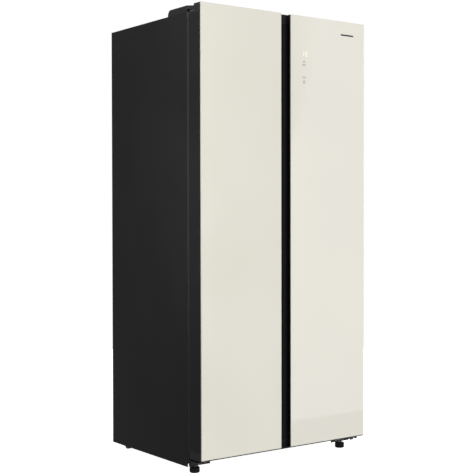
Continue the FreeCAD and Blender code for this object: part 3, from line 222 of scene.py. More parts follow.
@dataclass(frozen=True)
class PaintedGlass(Finish):
    """Tempered float glass with enamel fired on its back: deep even colour under a clear hard face."""

    shade: str = "dedbd0"

    def texture(self, tree: bpy.types.NodeTree, shader: bpy.types.Node) -> None:
        """Slow roller wave of the tempering and the faint cloud of the enamel."""
        self.tint(tree, shader, self.noise(tree, 420.0, 1.0), self.shade, self.colour)
        self.bump(tree, shader, self.noise(tree, self.grain_mm, 0.0, (1.0, 1.0, 2.0)), 0.4)
        shader.inputs["Coat Weight"].default_value = 0.5
        shader.inputs["Coat Roughness"].default_value = 0.02


@dataclass(frozen=True)
class CoatedSteel(Finish):
    """Steel under a film of paint, with the orange peel that its coating line leaves."""

    shade: str = "161617"

    def texture(self, tree: bpy.types.NodeTree, shader: bpy.types.Node) -> None:
        """Orange peel of 2 mm, drawn at 3 mm so that it shows, and handling marks."""
        self.tint(tree, shader, self.noise(tree, 300.0, 2.0), self.shade, self.colour)
        self.bump(tree, shader, self.noise(tree, self.grain_mm), 0.5)
        self.gloss(tree, shader, self.noise(tree, 90.0), 0.05)


@dataclass(frozen=True)
class Moulding(Finish):
    """Moulded plastic, rubber or ink with the dull texture that a spark-eroded mould leaves."""

    shade: str = "141415"

    def texture(self, tree: bpy.types.NodeTree, shader: bpy.types.Node) -> None:
        """Spark-erosion pits of 0.5 mm, drawn at 1.5 mm so that they show."""
        self.tint(tree, shader, self.noise(tree, 120.0, 2.0), self.shade, self.colour)
        self.bump(tree, shader, self.noise(tree, self.grain_mm), 0.6)
        self.gloss(tree, shader, self.noise(tree, 30.0), 0.05)


@dataclass(frozen=True)
class DrawnProfile(Finish):
    """Extruded profile: a satin skin with the long fine lines of the die."""

    shade: str = "19191a"

    def texture(self, tree: bpy.types.NodeTree, shader: bpy.types.Node) -> None:
        """Die lines along the height, about 1 mm apart."""
        lines = self.noise(tree, self.grain_mm, 2.0, (1.0, 1.0, 0.01))
        self.tint(tree, shader, lines, self.shade, self.colour)
        self.bump(tree, shader, lines, 0.5)


@dataclass(frozen=True)
class BareMetal(Finish):
    """Rolled or plated metal with a drawn-out grain."""

    shade: str = "8a8c8e"
    along: Corner = (0.05, 1.0, 1.0)

    def texture(self, tree: bpy.types.NodeTree, shader: bpy.types.Node) -> None:
        """Rolling lines and a cloudy sheen."""
        lines = self.noise(tree, self.grain_mm, 3.0, self.along)
        self.tint(tree, shader, self.noise(tree, 60.0), self.shade, self.colour)
        self.bump(tree, shader, lines, 0.5)
        self.gloss(tree, shader, lines, 0.08)


@dataclass(frozen=True)
class SpangledSteel(Finish):
    """Hot-dip galvanised sheet: zinc crystals of a centimetre, each with its own grey."""

    shade: str = "777b7e"

    def texture(self, tree: bpy.types.NodeTree, shader: bpy.types.Node) -> None:
        """Crystals as cells, with a faint edge between them."""
        cells = self.cells(tree)
        self.tint(tree, shader, cells.outputs["Color"], self.shade, self.colour)
        self.gloss(tree, shader, cells.outputs["Color"], 0.08)
        self.bump(tree, shader, cells.outputs["Distance"], 0.3)


@dataclass(frozen=True)
class ClearMoulding(Finish):
    """Clear polystyrene or float glass: light goes through, the edges take a tint."""

    clearness: float = 0.92

    def texture(self, tree: bpy.types.NodeTree, shader: bpy.types.Node) -> None:
        """Faint flow marks."""
        shader.inputs["Transmission Weight"].default_value = self.clearness
        self.bump(tree, shader, self.noise(tree, self.grain_mm, 1.0), 0.3)


@dataclass(frozen=True)
class Foam(Finish):
    """Polyurethane foam: a dull cream skin over closed cells."""

    shade: str = "c4b27e"

    def texture(self, tree: bpy.types.NodeTree, shader: bpy.types.Node) -> None:
        """Cells of a millimetre, drawn at three, and darker folds of the rise."""
        self.tint(tree, shader, self.noise(tree, 50.0), self.shade, self.colour)
        cells = self.cells(tree)
        self.bump(tree, shader, cells.outputs["Distance"])


@dataclass(frozen=True)
class PrintedBoard(Finish):
    """Glass-fibre circuit board: green solder mask over rows of copper tracks."""

    shade: str = "0b3d20"

    def texture(self, tree: bpy.types.NodeTree, shader: bpy.types.Node) -> None:
        """Tracks about 2 mm apart under the mask."""
        tracks = add_node(
            tree,
            "ShaderNodeTexBrick",
            {"Scale": per_metre(12.0), "Color1": linear(self.colour), "Color2": linear(self.shade),
             "Mortar": linear("2f7a45"), "Mortar Size": 0.03},
            {"Vector": self.place(tree)},
        )
        tree.links.new(tracks.outputs["Color"], shader.inputs["Base Color"])
        self.bump(tree, shader, tracks.outputs["Fac"])


@dataclass(frozen=True)
class Glow(Finish):
    """Diffuser, segment or card that gives an even light of its own."""

    light: str = "fff4c2"
    power: float = 1.0

    def texture(self, tree: bpy.types.NodeTree, shader: bpy.types.Node) -> None:
        """Steady light through a faintly grained diffuser."""
        shader.inputs["Emission Color"].default_value = linear(self.light)
        shader.inputs["Emission Strength"].default_value = self.power
        self.bump(tree, shader, self.noise(tree, self.grain_mm), 0.3)


@dataclass(frozen=True)
class FadingCard(Glow):
    """Card lit from its right edge, so that its light falls off along X."""

    dark_x: float = 3.82
    bright_x: float = 4.28
    faintest: float = 0.21

    def texture(self, tree: bpy.types.NodeTree, shader: bpy.types.Node) -> None:
        """Fall-off between two places on X."""
        parts = add_node(tree, "ShaderNodeSeparateXYZ", None, {"Vector": self.place(tree)})
        level = add_node(
            tree, "ShaderNodeMapRange",
            {"From Min": self.dark_x, "From Max": self.bright_x, "To Min": self.faintest * self.power,
             "To Max": self.power},
            {"Value": parts.outputs["X"]},
        )
        shader.inputs["Emission Color"].default_value = linear(self.light)
        tree.links.new(level.outputs["Result"], shader.inputs["Emission Strength"])


# Tempered glass, enamelled on the back: cream, glossy, with hardly any structure.
LEFT_GLASS = PaintedGlass(
    "tempered glass, cream enamel fired on the back", "dad7cb", roughness=0.05, ior=1.52, grain_mm=260.0,
    relief_mm=0.05,
)
# The same enamel on the right door, smoother, so that it mirrors the lit cards as a clear sheen. Its colour
# is painted a touch lighter and bluer than the left door's: painted light for that door's brighter look.
RIGHT_GLASS_PAINTED_LIGHTER = PaintedGlass(
    "tempered glass, cream enamel, right door, painted lighter", "dcd9cf", roughness=0.02, ior=1.52, grain_mm=260.0,
    relief_mm=0.02,
)
# Ground and polished edge of the glass: greyer than the face, so that it draws a thin line round it.
POLISHED_EDGE = PaintedGlass(
    "tempered glass, ground and polished edge", "9c9a8e", roughness=0.12, ior=1.52, grain_mm=4.0,
    relief_mm=0.01, shade="969488",
)
# Pre-coated steel sheet: near black, satin, with orange peel.
BLACK_STEEL = CoatedSteel(
    "pre-coated steel sheet, satin black", "161617", roughness=0.34, grain_mm=3.0, relief_mm=0.02,
    specular=0.2, shade="121213",
)
# ABS, moulded in black: a shade duller than the sheet beside it.
BLACK_ABS = Moulding(
    "ABS, moulded black", "171718", roughness=0.42, ior=1.53, grain_mm=1.5, relief_mm=0.02,
    specular=0.35, shade="121213",
)
# ABS profile, extruded almost black: the floor of the grip channel.
DARK_PROFILE = DrawnProfile(
    "ABS profile, extruded dark grey", "131314", roughness=0.5, ior=1.53, grain_mm=1.2, relief_mm=0.01,
    specular=0.25, shade="0f0f10",
)
# Strip under the glass: mid grey satin, which picks up the light from in front.
TRIM_DARK = DrawnProfile(
    "ABS strip, moulded grey", "6b6b6c", roughness=0.35, ior=1.53, grain_mm=1.0, relief_mm=0.005,
    shade="646465",
)
# Upper hinge: steel with a dark grey zinc-flake coat, dull.
HINGE_PAINT = CoatedSteel(
    "steel hinge, zinc-flake coated grey", "4b4b4a", roughness=0.45, grain_mm=2.0, relief_mm=0.01,
    shade="454544",
)
# Lower hinge: steel bracket, pressed and e-coated black.
BRACKET_STEEL = CoatedSteel(
    "steel bracket, pressed and e-coated black", "1f1f20", roughness=0.4, grain_mm=2.0, relief_mm=0.02
)
# Face of the cabinet behind the seals. Its grey, lighter than the black sheet round it, is painted light that
# lifts the shade deep in the seam between door and cabinet.
FRAME_STEEL_PAINTED_LIGHT = CoatedSteel(
    "pre-coated steel sheet, grey, painted light in the seam", "5a5b5c", roughness=0.4, grain_mm=3.0, relief_mm=0.02, specular=0.4,
    shade="545556",
)
# Zinc-plated steel: bright, a little blue, with rolling lines.
ZINC_STEEL = BareMetal(
    "steel, turned and zinc-plated", "b4b8bc", roughness=0.32, metallic=1.0, grain_mm=0.8,
    relief_mm=0.01,
)
# Galvanised sheet behind and under the cabinet.
GALVANISED = SpangledSteel(
    "steel sheet, hot-dip galvanised", "9ea2a5", roughness=0.45, metallic=1.0, grain_mm=12.0,
    relief_mm=0.02,
)
# Polystyrene liner, vacuum-formed: white and softly glossy.
WHITE_LINER = Moulding(
    "HIPS liner, vacuum-formed white", "e6e9ea", roughness=0.3, ior=1.59, grain_mm=4.0, relief_mm=0.02,
    shade="dde1e3",
)
# Polypropylene panels inside, moulded white.
WHITE_PANEL = Moulding(
    "polypropylene, moulded white", "dfe2e3", roughness=0.36, ior=1.49, grain_mm=1.5, relief_mm=0.02,
    shade="d6dadb",
)
# Crystal polystyrene, moulded clear: bins and drawers.
CLEAR_PS = ClearMoulding(
    "crystal polystyrene, moulded clear", "e4edf0", roughness=0.06, ior=1.59, grain_mm=30.0,
    relief_mm=0.02, clearness=0.85,
)
# Frosted rims of the drawers, moulded from the same plastic with a dull face.
CLEAR_FROST = ClearMoulding(
    "crystal polystyrene, moulded frosted", "e2e8ea", roughness=0.4, ior=1.59, grain_mm=2.0,
    relief_mm=0.02, clearness=0.5,
)
# Defrost heater: quartz tube.
HEATER_GLASS = ClearMoulding(
    "quartz tube, drawn", "e8e8e6", roughness=0.08, ior=1.46, grain_mm=20.0, relief_mm=0.01,
    clearness=0.8,
)
# Float glass shelves, toughened: clear with a green cast.
SHELF_GLASS = ClearMoulding(
    "float glass, toughened", "d8ebe4", roughness=0.03, ior=1.52, grain_mm=200.0, relief_mm=0.02,
    clearness=0.95,
)
# Soft PVC seal, extruded grey.
SEAL_PVC = DrawnProfile(
    "soft PVC seal, extruded grey", "4a4b4d", roughness=0.55, ior=1.53, grain_mm=1.5, relief_mm=0.02,
    shade="404143",
)
# Soft black fin in the seam between door and cabinet.
SEAM_PVC = DrawnProfile(
    "soft PVC fin, extruded black", "232324", roughness=0.5, ior=1.53, grain_mm=1.5, relief_mm=0.02,
    shade="1e1e1f",
)
# Rubber, moulded black.
RUBBER = Moulding(
    "EPDM rubber, moulded black", "161616", roughness=0.62, ior=1.52, grain_mm=2.0, relief_mm=0.03,
    shade="101010",
)
# Polyurethane foam between the skins.
PU_FOAM = Foam(
    "polyurethane foam, foamed in place", "dccb94", roughness=0.8, grain_mm=3.0, relief_mm=0.5
)
# Aluminium fins and tubes of the coils.
FIN_METAL = BareMetal(
    "aluminium fin stock, rolled", "c9ccce", roughness=0.35, metallic=1.0, grain_mm=1.0, relief_mm=0.01,
    shade="aeb2b5", along=(1.0, 0.05, 1.0),
)
# Copper, drawn tube.
COPPER = BareMetal(
    "copper tube, drawn", "c07a55", roughness=0.3, metallic=1.0, grain_mm=1.0, relief_mm=0.01,
    shade="9c5a3c", along=(1.0, 1.0, 0.05),
)
# Compressor pot, painted black over drawn steel.
POT_PAINT = CoatedSteel(
    "drawn steel pot, painted black", "121213", roughness=0.28, grain_mm=2.5, relief_mm=0.03
)
# Circuit boards.
BOARD_GREEN = PrintedBoard(
    "glass-fibre circuit board, green mask", "10502b", roughness=0.4, grain_mm=2.0, relief_mm=0.03
)
# Lamp strips inside, lit.
LAMP = Glow(
    "polycarbonate diffuser, lit white", "f4f5f0", roughness=0.4, ior=1.58, grain_mm=2.0, relief_mm=0.02,
    light="fff9ea", power=3.0,
)
# Display segments, lit yellow behind the glass, faintly so that they keep their colour.
SEGMENT = Glow(
    "display segment, lit pale yellow", "fbf6cf", roughness=0.3, grain_mm=1.0, relief_mm=0.005,
    light="f4e98c", power=0.12,
)
# Touch symbols, screen-printed grey behind the glass.
SYMBOL_INK = Moulding(
    "ink, screen-printed grey", "8f8d84", roughness=0.3, grain_mm=1.0, relief_mm=0.005, shade="858379"
)
# Plain badge bar, stamped aluminium, dark anodised.
BADGE_METAL = BareMetal(
    "aluminium badge, stamped and dark anodised", "55575a", roughness=0.3, metallic=1.0, grain_mm=0.6,
    relief_mm=0.005, shade="46484b",
)
# Silver trims on the inner shelves, anodised aluminium.
TRIM_METAL = BareMetal(
    "aluminium trim, anodised silver", "c6c8ca", roughness=0.28, metallic=1.0, grain_mm=0.8,
    relief_mm=0.005, shade="b2b5b8",
)
# Lit card beside the camera, seen only as a sheen in the glass.
CARD_GLOW = Glow(
    "white card, lit", "808080", roughness=0.9, grain_mm=5.0, relief_mm=0.01, light="ffffff", power=1.0
)
# The same where its light fades towards one side.
FADING_CARD = FadingCard(
    "white card, lit from one side", "808080", roughness=0.9, grain_mm=5.0, relief_mm=0.01,
    light="ffffff", power=1.27,
)
# Opal floor plate, lit softly from below so that it stays pale in the shade.
STUDIO_PAPER = Glow(
    "opal acrylic, lit from below", "f2f2f1", roughness=0.9, ior=1.49, grain_mm=4.0, relief_mm=0.02,
    light="ffffff", power=1.0,
)


# Making pieces


class Axis(Enum):
    """Direction that a shape is pushed or turned about."""

    X = (1.0, 0.0, 0.0)
    Y = (0.0, 1.0, 0.0)
    Z = (0.0, 0.0, 1.0)

    def vector(self) -> Vector:
        """Unit vector of the axis."""
        return Vector(self.value)

    def lift(self, u: float, v: float, along: float) -> Vector:
        """Place of a point (u, v) of the plane across the axis.

        Args:
            u: First of the two other coordinates, in X, Y, Z order.
            v: Second of them.
            along: Coordinate on the axis itself.

        Returns:
            The point in the row frame.
        """
        order = {Axis.X: (along, u, v), Axis.Y: (u, along, v), Axis.Z: (u, v, along)}
        return Vector(order[self])


class Body(Enum):
    """CAD bodies that pieces ride on."""

    CABINET = "cabinet"
    FREEZER_DOOR = "freezer_door"
    FRIDGE_DOOR = "fridge_door"
    FOOT_LEFT = "levelling_foot_left"
    FOOT_RIGHT = "levelling_foot_right"
    ROLLER_LEFT = "rear_roller_left"
    ROLLER_RIGHT = "rear_roller_right"


def is_side(edge: bmesh.types.BMEdge) -> bool:
    """Whether an edge runs along X or along Z, as a frame's sides do and its mitres don't."""
    step = edge.verts[1].co - edge.verts[0].co
    return abs(step.y) < SAME and min(abs(step.x), abs(step.z)) < SAME


def linked(name: str, data: bpy.types.ID) -> bpy.types.Object:
    """New object of the scene that holds the data."""
    made = bpy.data.objects.new(name, data)
    bpy.context.scene.collection.objects.link(made)
    return made


class Piece:
    """One visual piece while it is being made, in the row frame and in metres."""

    def __init__(self) -> None:
        """Start with an empty mesh."""
        self.bm = bmesh.new()
        self.inlaid: list[Finish] = []
        self.walled = False

    def bevel(self, edges: Iterable[bmesh.types.BMEdge], width_mm: float, segments: int = 3) -> None:
        """Round some edges."""
        bmesh.ops.bevel(
            self.bm, geom=list(edges), offset=width_mm * MM, offset_type="OFFSET", segments=segments,
            profile=0.5, affect="EDGES", material=-1, clamp_overlap=True,
        )

    def block(self, low: Sequence[float], high: Sequence[float], round_mm: float = 0.0,
              segments: int = 3) -> list[bmesh.types.BMVert]:
        """Add a block between two corners, its edges rounded.

        Args:
            low: Lowest corner.
            high: Highest corner.
            round_mm: Radius of all its edges.
            segments: Faces across each round.

        Returns:
            Its vertices, or none of them where its edges were rounded.
        """
        start, end = Vector(low), Vector(high)
        place = Matrix.Translation((start + end) / 2) @ Matrix.Diagonal((*(end - start), 1.0))
        made = bmesh.ops.create_cube(self.bm, size=1.0, matrix=place)["verts"]
        if not round_mm:
            return made
        self.bevel({edge for vert in made for edge in vert.link_edges}, round_mm, segments)
        return []

    def rod(self, start: Sequence[float], end: Sequence[float], radius_mm: float, sides: int = 24,
            end_radius_mm: float | None = None, round_mm: float = 0.0) -> None:
        """Add a round bar or a cone between two points.

        Args:
            start: Centre of its first end.
            end: Centre of its other end.
            radius_mm: Radius at the first end.
            sides: Faces round it.
            end_radius_mm: Radius at the other end, if it differs.
            round_mm: Radius of its two rims.
        """
        first, last = Vector(start), Vector(end)
        along = last - first
        turn = along.to_track_quat("Z", "Y").to_matrix().to_4x4()
        made = bmesh.ops.create_cone(
            self.bm, cap_ends=True, segments=sides, radius1=radius_mm * MM,
            radius2=(radius_mm if end_radius_mm is None else end_radius_mm) * MM, depth=along.length,
            matrix=Matrix.Translation((first + last) / 2) @ turn,
        )["verts"]
        if round_mm:
            faces = {face for vert in made for face in vert.link_faces if len(face.verts) == sides}
            self.bevel({edge for face in faces for edge in face.edges}, round_mm, 2)

    def push(self, faces: Sequence[bmesh.types.BMFace], step: Vector) -> list[bmesh.types.BMVert]:
        """Extrude faces by a step.

        Args:
            faces: Faces that are pushed.
            step: How far and which way.

        Returns:
            The vertices of the new end.
        """
        grown = bmesh.ops.extrude_face_region(self.bm, geom=faces)["geom"]
        moved = [item for item in grown if isinstance(item, bmesh.types.BMVert)]
        bmesh.ops.translate(self.bm, verts=moved, vec=step)
        return moved

    def prism(self, outline: Sequence[tuple[float, float]], axis: Axis, start: float,
              end: float) -> list[bmesh.types.BMVert]:
        """Push a flat outline along an axis.

        Args:
            outline: Corners (u, v) across the axis.
            axis: Direction of the push.
            start: Where the outline lies on the axis.
            end: Where the push stops.

        Returns:
            All its vertices.
        """
        first = [self.bm.verts.new(axis.lift(u, v, start)) for u, v in outline]
        face = self.bm.faces.new(first)
        return first + self.push([face], axis.vector() * (end - start))

    def band(self, low: tuple[float, float], high: tuple[float, float], width_mm: float, front: float,
             back: float, round_mm: float = 0.0) -> None:
        """Add a rectangular frame that lies in X and Z.

        Args:
            low: Outer lowest X and Z.
            high: Outer highest X and Z.
            width_mm: Width of the frame's sides.
            front: Y of its front.
            back: Y of its back.
            round_mm: Radius of its outer corners and edges.
        """
        corners = ((low[0], low[1]), (high[0], low[1]), (high[0], high[1]), (low[0], high[1]))
        face = self.bm.faces.new([self.bm.verts.new(Axis.Y.lift(u, v, front)) for u, v in corners])
        face.normal_update()
        ring = bmesh.ops.inset_region(
            self.bm, faces=[face], thickness=width_mm * MM, use_even_offset=True, use_boundary=True
        )["faces"]
        bmesh.ops.delete(self.bm, geom=[face], context="FACES")
        moved = self.push(ring, Vector((0.0, back - front, 0.0)))
        if round_mm:
            verts = {vert for face in ring for vert in face.verts} | set(moved)
            edges = {edge for vert in verts for edge in vert.link_edges}
            least = abs(back - front) * 1.5
            self.bevel({edge for edge in edges if edge.calc_length() > least and is_side(edge)}, round_mm, 2)

    def turned(self, profile: Sequence[tuple[float, float]], centre: Sequence[float],
               axis: Axis = Axis.Z, steps: int = 48) -> None:
        """Turn a profile into a round piece.

        Args:
            profile: Points (radius, height) in millimetres, from one end to the other.
            centre: Point on the axis that heights start from.
            axis: Axis it is turned about.
            steps: Faces round it.
        """
        across = {Axis.X: Vector((0, 1, 0)), Axis.Y: Vector((1, 0, 0)), Axis.Z: Vector((1, 0, 0))}[axis]
        middle = Vector(centre)
        verts = [
            self.bm.verts.new(middle + across * radius * MM + axis.vector() * height * MM)
            for radius, height in profile
        ]
        edges = [self.bm.edges.new(pair) for pair in zip(verts, verts[1:])]
        bmesh.ops.spin(
            self.bm, geom=verts + edges, cent=middle, axis=axis.vector(), angle=2 * math.pi, steps=steps,
            use_merge=True,
        )

    def open_box(self, low: Sequence[float], high: Sequence[float], round_mm: float, wall_mm: float) -> None:
        """Add a box with no lid, its edges rounded all round but at the rim.

        Args:
            low: Lowest outer corner.
            high: Highest outer corner, which is the rim.
            round_mm: Radius of its edges.
            wall_mm: Thickness of its walls.
        """
        rim = Vector(high).z
        made = self.block(low, high)
        top = next(face for face in {f for v in made for f in v.link_faces}
                   if all(abs(v.co.z - rim) < SAME for v in face.verts))
        keep = set(top.edges)
        edges = {edge for vert in made for edge in vert.link_edges} - keep
        bmesh.ops.delete(self.bm, geom=[top], context="FACES_ONLY")
        self.bevel(edges, round_mm, 4)
        bmesh.ops.recalc_face_normals(self.bm, faces=self.bm.faces)
        self.walled = True
        bmesh.ops.solidify(self.bm, geom=list(self.bm.faces), thickness=wall_mm * MM)

    def inlay(self, finish: Finish, test: Callable[[bmesh.types.BMFace], bool]) -> None:
        """Give the faces that pass a test a second finish."""
        self.inlaid.append(finish)
        self.bm.normal_update()
        for face in self.bm.faces:
            if test(face):
                face.material_index = len(self.inlaid)

    def done(self, name: str, body: Body | str, finish: Finish, slot: str, stands_for: Sequence[str] = (),
             sharp_deg: float = 38.0) -> bpy.types.Object:
        """Turn the mesh into an object that rides on a body.

        Args:
            name: Name of the piece.
            body: CAD body that it moves with.
            finish: Its finish.
            slot: Material slot of the record; not used.
            stands_for: CAD nodes that it replaces.
            sharp_deg: Edges that turn more than this stay sharp.

        Returns:
            The new object.
        """
        bmesh.ops.remove_doubles(self.bm, verts=self.bm.verts, dist=SAME)
        if not self.walled:
            bmesh.ops.recalc_face_normals(self.bm, faces=self.bm.faces)
        mesh = bpy.data.meshes.new(name)
        self.bm.to_mesh(mesh)
        self.bm.free()
        for each in [finish, *self.inlaid]:
            mesh.materials.append(each.material())
        mesh.shade_smooth()
        mesh.set_sharp_from_angle(angle=math.radians(sharp_deg))
        made = linked(name, mesh)
        even = made.modifiers.new("even_shading", "WEIGHTED_NORMAL")
        even.keep_sharp = True
        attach(made, body.value if isinstance(body, Body) else body)
        if stands_for:
            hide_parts(*stands_for)
        log.info("%s: %d faces in %s", name, len(mesh.polygons), finish.name)
        return made


class Pipe:
    """Round pipe bent from straight runs and arcs."""

    def __init__(self, piece: Piece, at: Sequence[float], heading: Sequence[float], radius_mm: float,
                 sides: int = 12) -> None:
        """Start from an end ring.

        Args:
            piece: Piece that the pipe is part of.
            at: Centre of its start.
            heading: Direction that it leaves in.
            radius_mm: Radius of the pipe.
            sides: Faces round it.
        """
        self.piece = piece
        self.at = Vector(at)
        self.heading = Vector(heading).normalized()
        turn = self.heading.to_track_quat("Z", "Y").to_matrix().to_4x4()
        self.ring = bmesh.ops.create_circle(
            piece.bm, cap_ends=True, segments=sides, radius=radius_mm * MM,
            matrix=Matrix.Translation(self.at) @ turn,
        )["verts"]

    def _edges(self) -> list[bmesh.types.BMEdge]:
        """Edges of the ring at the pipe's free end."""
        ring = set(self.ring)
        found = {edge for vert in self.ring for edge in vert.link_edges}
        return [edge for edge in found if edge.verts[0] in ring and edge.verts[1] in ring]

    def run(self, length_mm: float) -> "Pipe":
        """Go straight on.

        Args:
            length_mm: Length of the run.

        Returns:
            The pipe.
        """
        grown = bmesh.ops.extrude_edge_only(self.piece.bm, edges=self._edges())["geom"]
        self.ring = [item for item in grown if isinstance(item, bmesh.types.BMVert)]
        step = self.heading * length_mm * MM
        bmesh.ops.translate(self.piece.bm, verts=self.ring, vec=step)
        self.at = self.at + step
        return self

    def bend(self, towards: Sequence[float], radius_mm: float, angle_deg: float = 90.0,
             steps: int = 6) -> "Pipe":
        """Turn towards a direction on an arc.

        Args:
            towards: Direction across the heading.
            radius_mm: Radius of the arc.
            angle_deg: Angle of the arc.
            steps: Rings along it.

        Returns:
            The pipe.
        """
        side = Vector(towards).normalized()
        angle = math.radians(angle_deg)
        pivot = self.at + side * radius_mm * MM
        last = bmesh.ops.spin(
            self.piece.bm, geom=self.ring + self._edges(), cent=pivot, axis=self.heading.cross(side),
            angle=angle, steps=steps,
        )["geom_last"]
        self.ring = [item for item in last if isinstance(item, bmesh.types.BMVert)]
        inward = side * math.cos(angle) - self.heading * math.sin(angle)
        self.heading = self.heading * math.cos(angle) + side * math.sin(angle)
        self.at = pivot - inward * radius_mm * MM
        return self

    def close(self) -> None:
        """Cap the free end."""
        bmesh.ops.contextual_create(self.piece.bm, geom=self._edges())


def dress(finish: Finish, *nodes: str) -> None:
    """Give CAD nodes whose shape is right their finish."""
    for node in nodes:
        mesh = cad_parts[node].data
        mesh.materials.clear()
        mesh.materials.append(finish.material())
        log.info("%s: CAD shape in %s", node, finish.name)


def merged_copy(node: str) -> Piece:
    """Start a piece from a CAD node, its loose triangles merged into whole faces."""
    piece = Piece()
    piece.bm.from_mesh(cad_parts[node].data)
    bmesh.ops.remove_doubles(piece.bm, verts=piece.bm.verts, dist=SAME_IN_CAD)
    bmesh.ops.dissolve_limit(
        piece.bm, angle_limit=math.radians(1.0), verts=piece.bm.verts, edges=piece.bm.edges
    )
    return piece


def softened(node: str, name: str, body: Body | str, finish: Finish, slot: str, width_mm: float,
             segments: int = 2, sharp_deg: float = 40.0) -> bpy.types.Object:
    """Replace a CAD node by a copy whose sharp edges are rounded.

    Args:
        node: CAD node that is copied and replaced.
        name: Name of the new piece.
        body: Body that it rides on.
        finish: Its finish.
        slot: Material slot of the record.
        width_mm: Width of the rounds.
        segments: Faces across each round.
        sharp_deg: Edges that turn more than this are rounded.

    Returns:
        The new object.
    """
    piece = merged_copy(node)
    edges = [
        edge for edge in piece.bm.edges
        if len(edge.link_faces) == 2 and edge.calc_face_angle() > math.radians(sharp_deg)
    ]
    piece.bevel(edges, width_mm, segments)
    return piece.done(name, body, finish, slot, (node,))


def middle(low: Vector, high: Vector) -> Vector:
    """Middle of a box."""
    return (low + high) / 2


# Sub-assemblies


class Half(Enum):
    """The two halves of the object."""

    FREEZER = "freezer"
    FRIDGE = "fridge"

    def outward(self) -> int:
        """Sign of X from the middle of the object towards this half's side."""
        return -1 if self is Half.FREEZER else 1

    def door(self) -> Body:
        """Body of this half's door."""
        return Body.FREEZER_DOOR if self is Half.FREEZER else Body.FRIDGE_DOOR

    def node(self, part: str) -> str:
        """Name of this half's CAD node of a part."""
        return f"{self.value}_{part}"


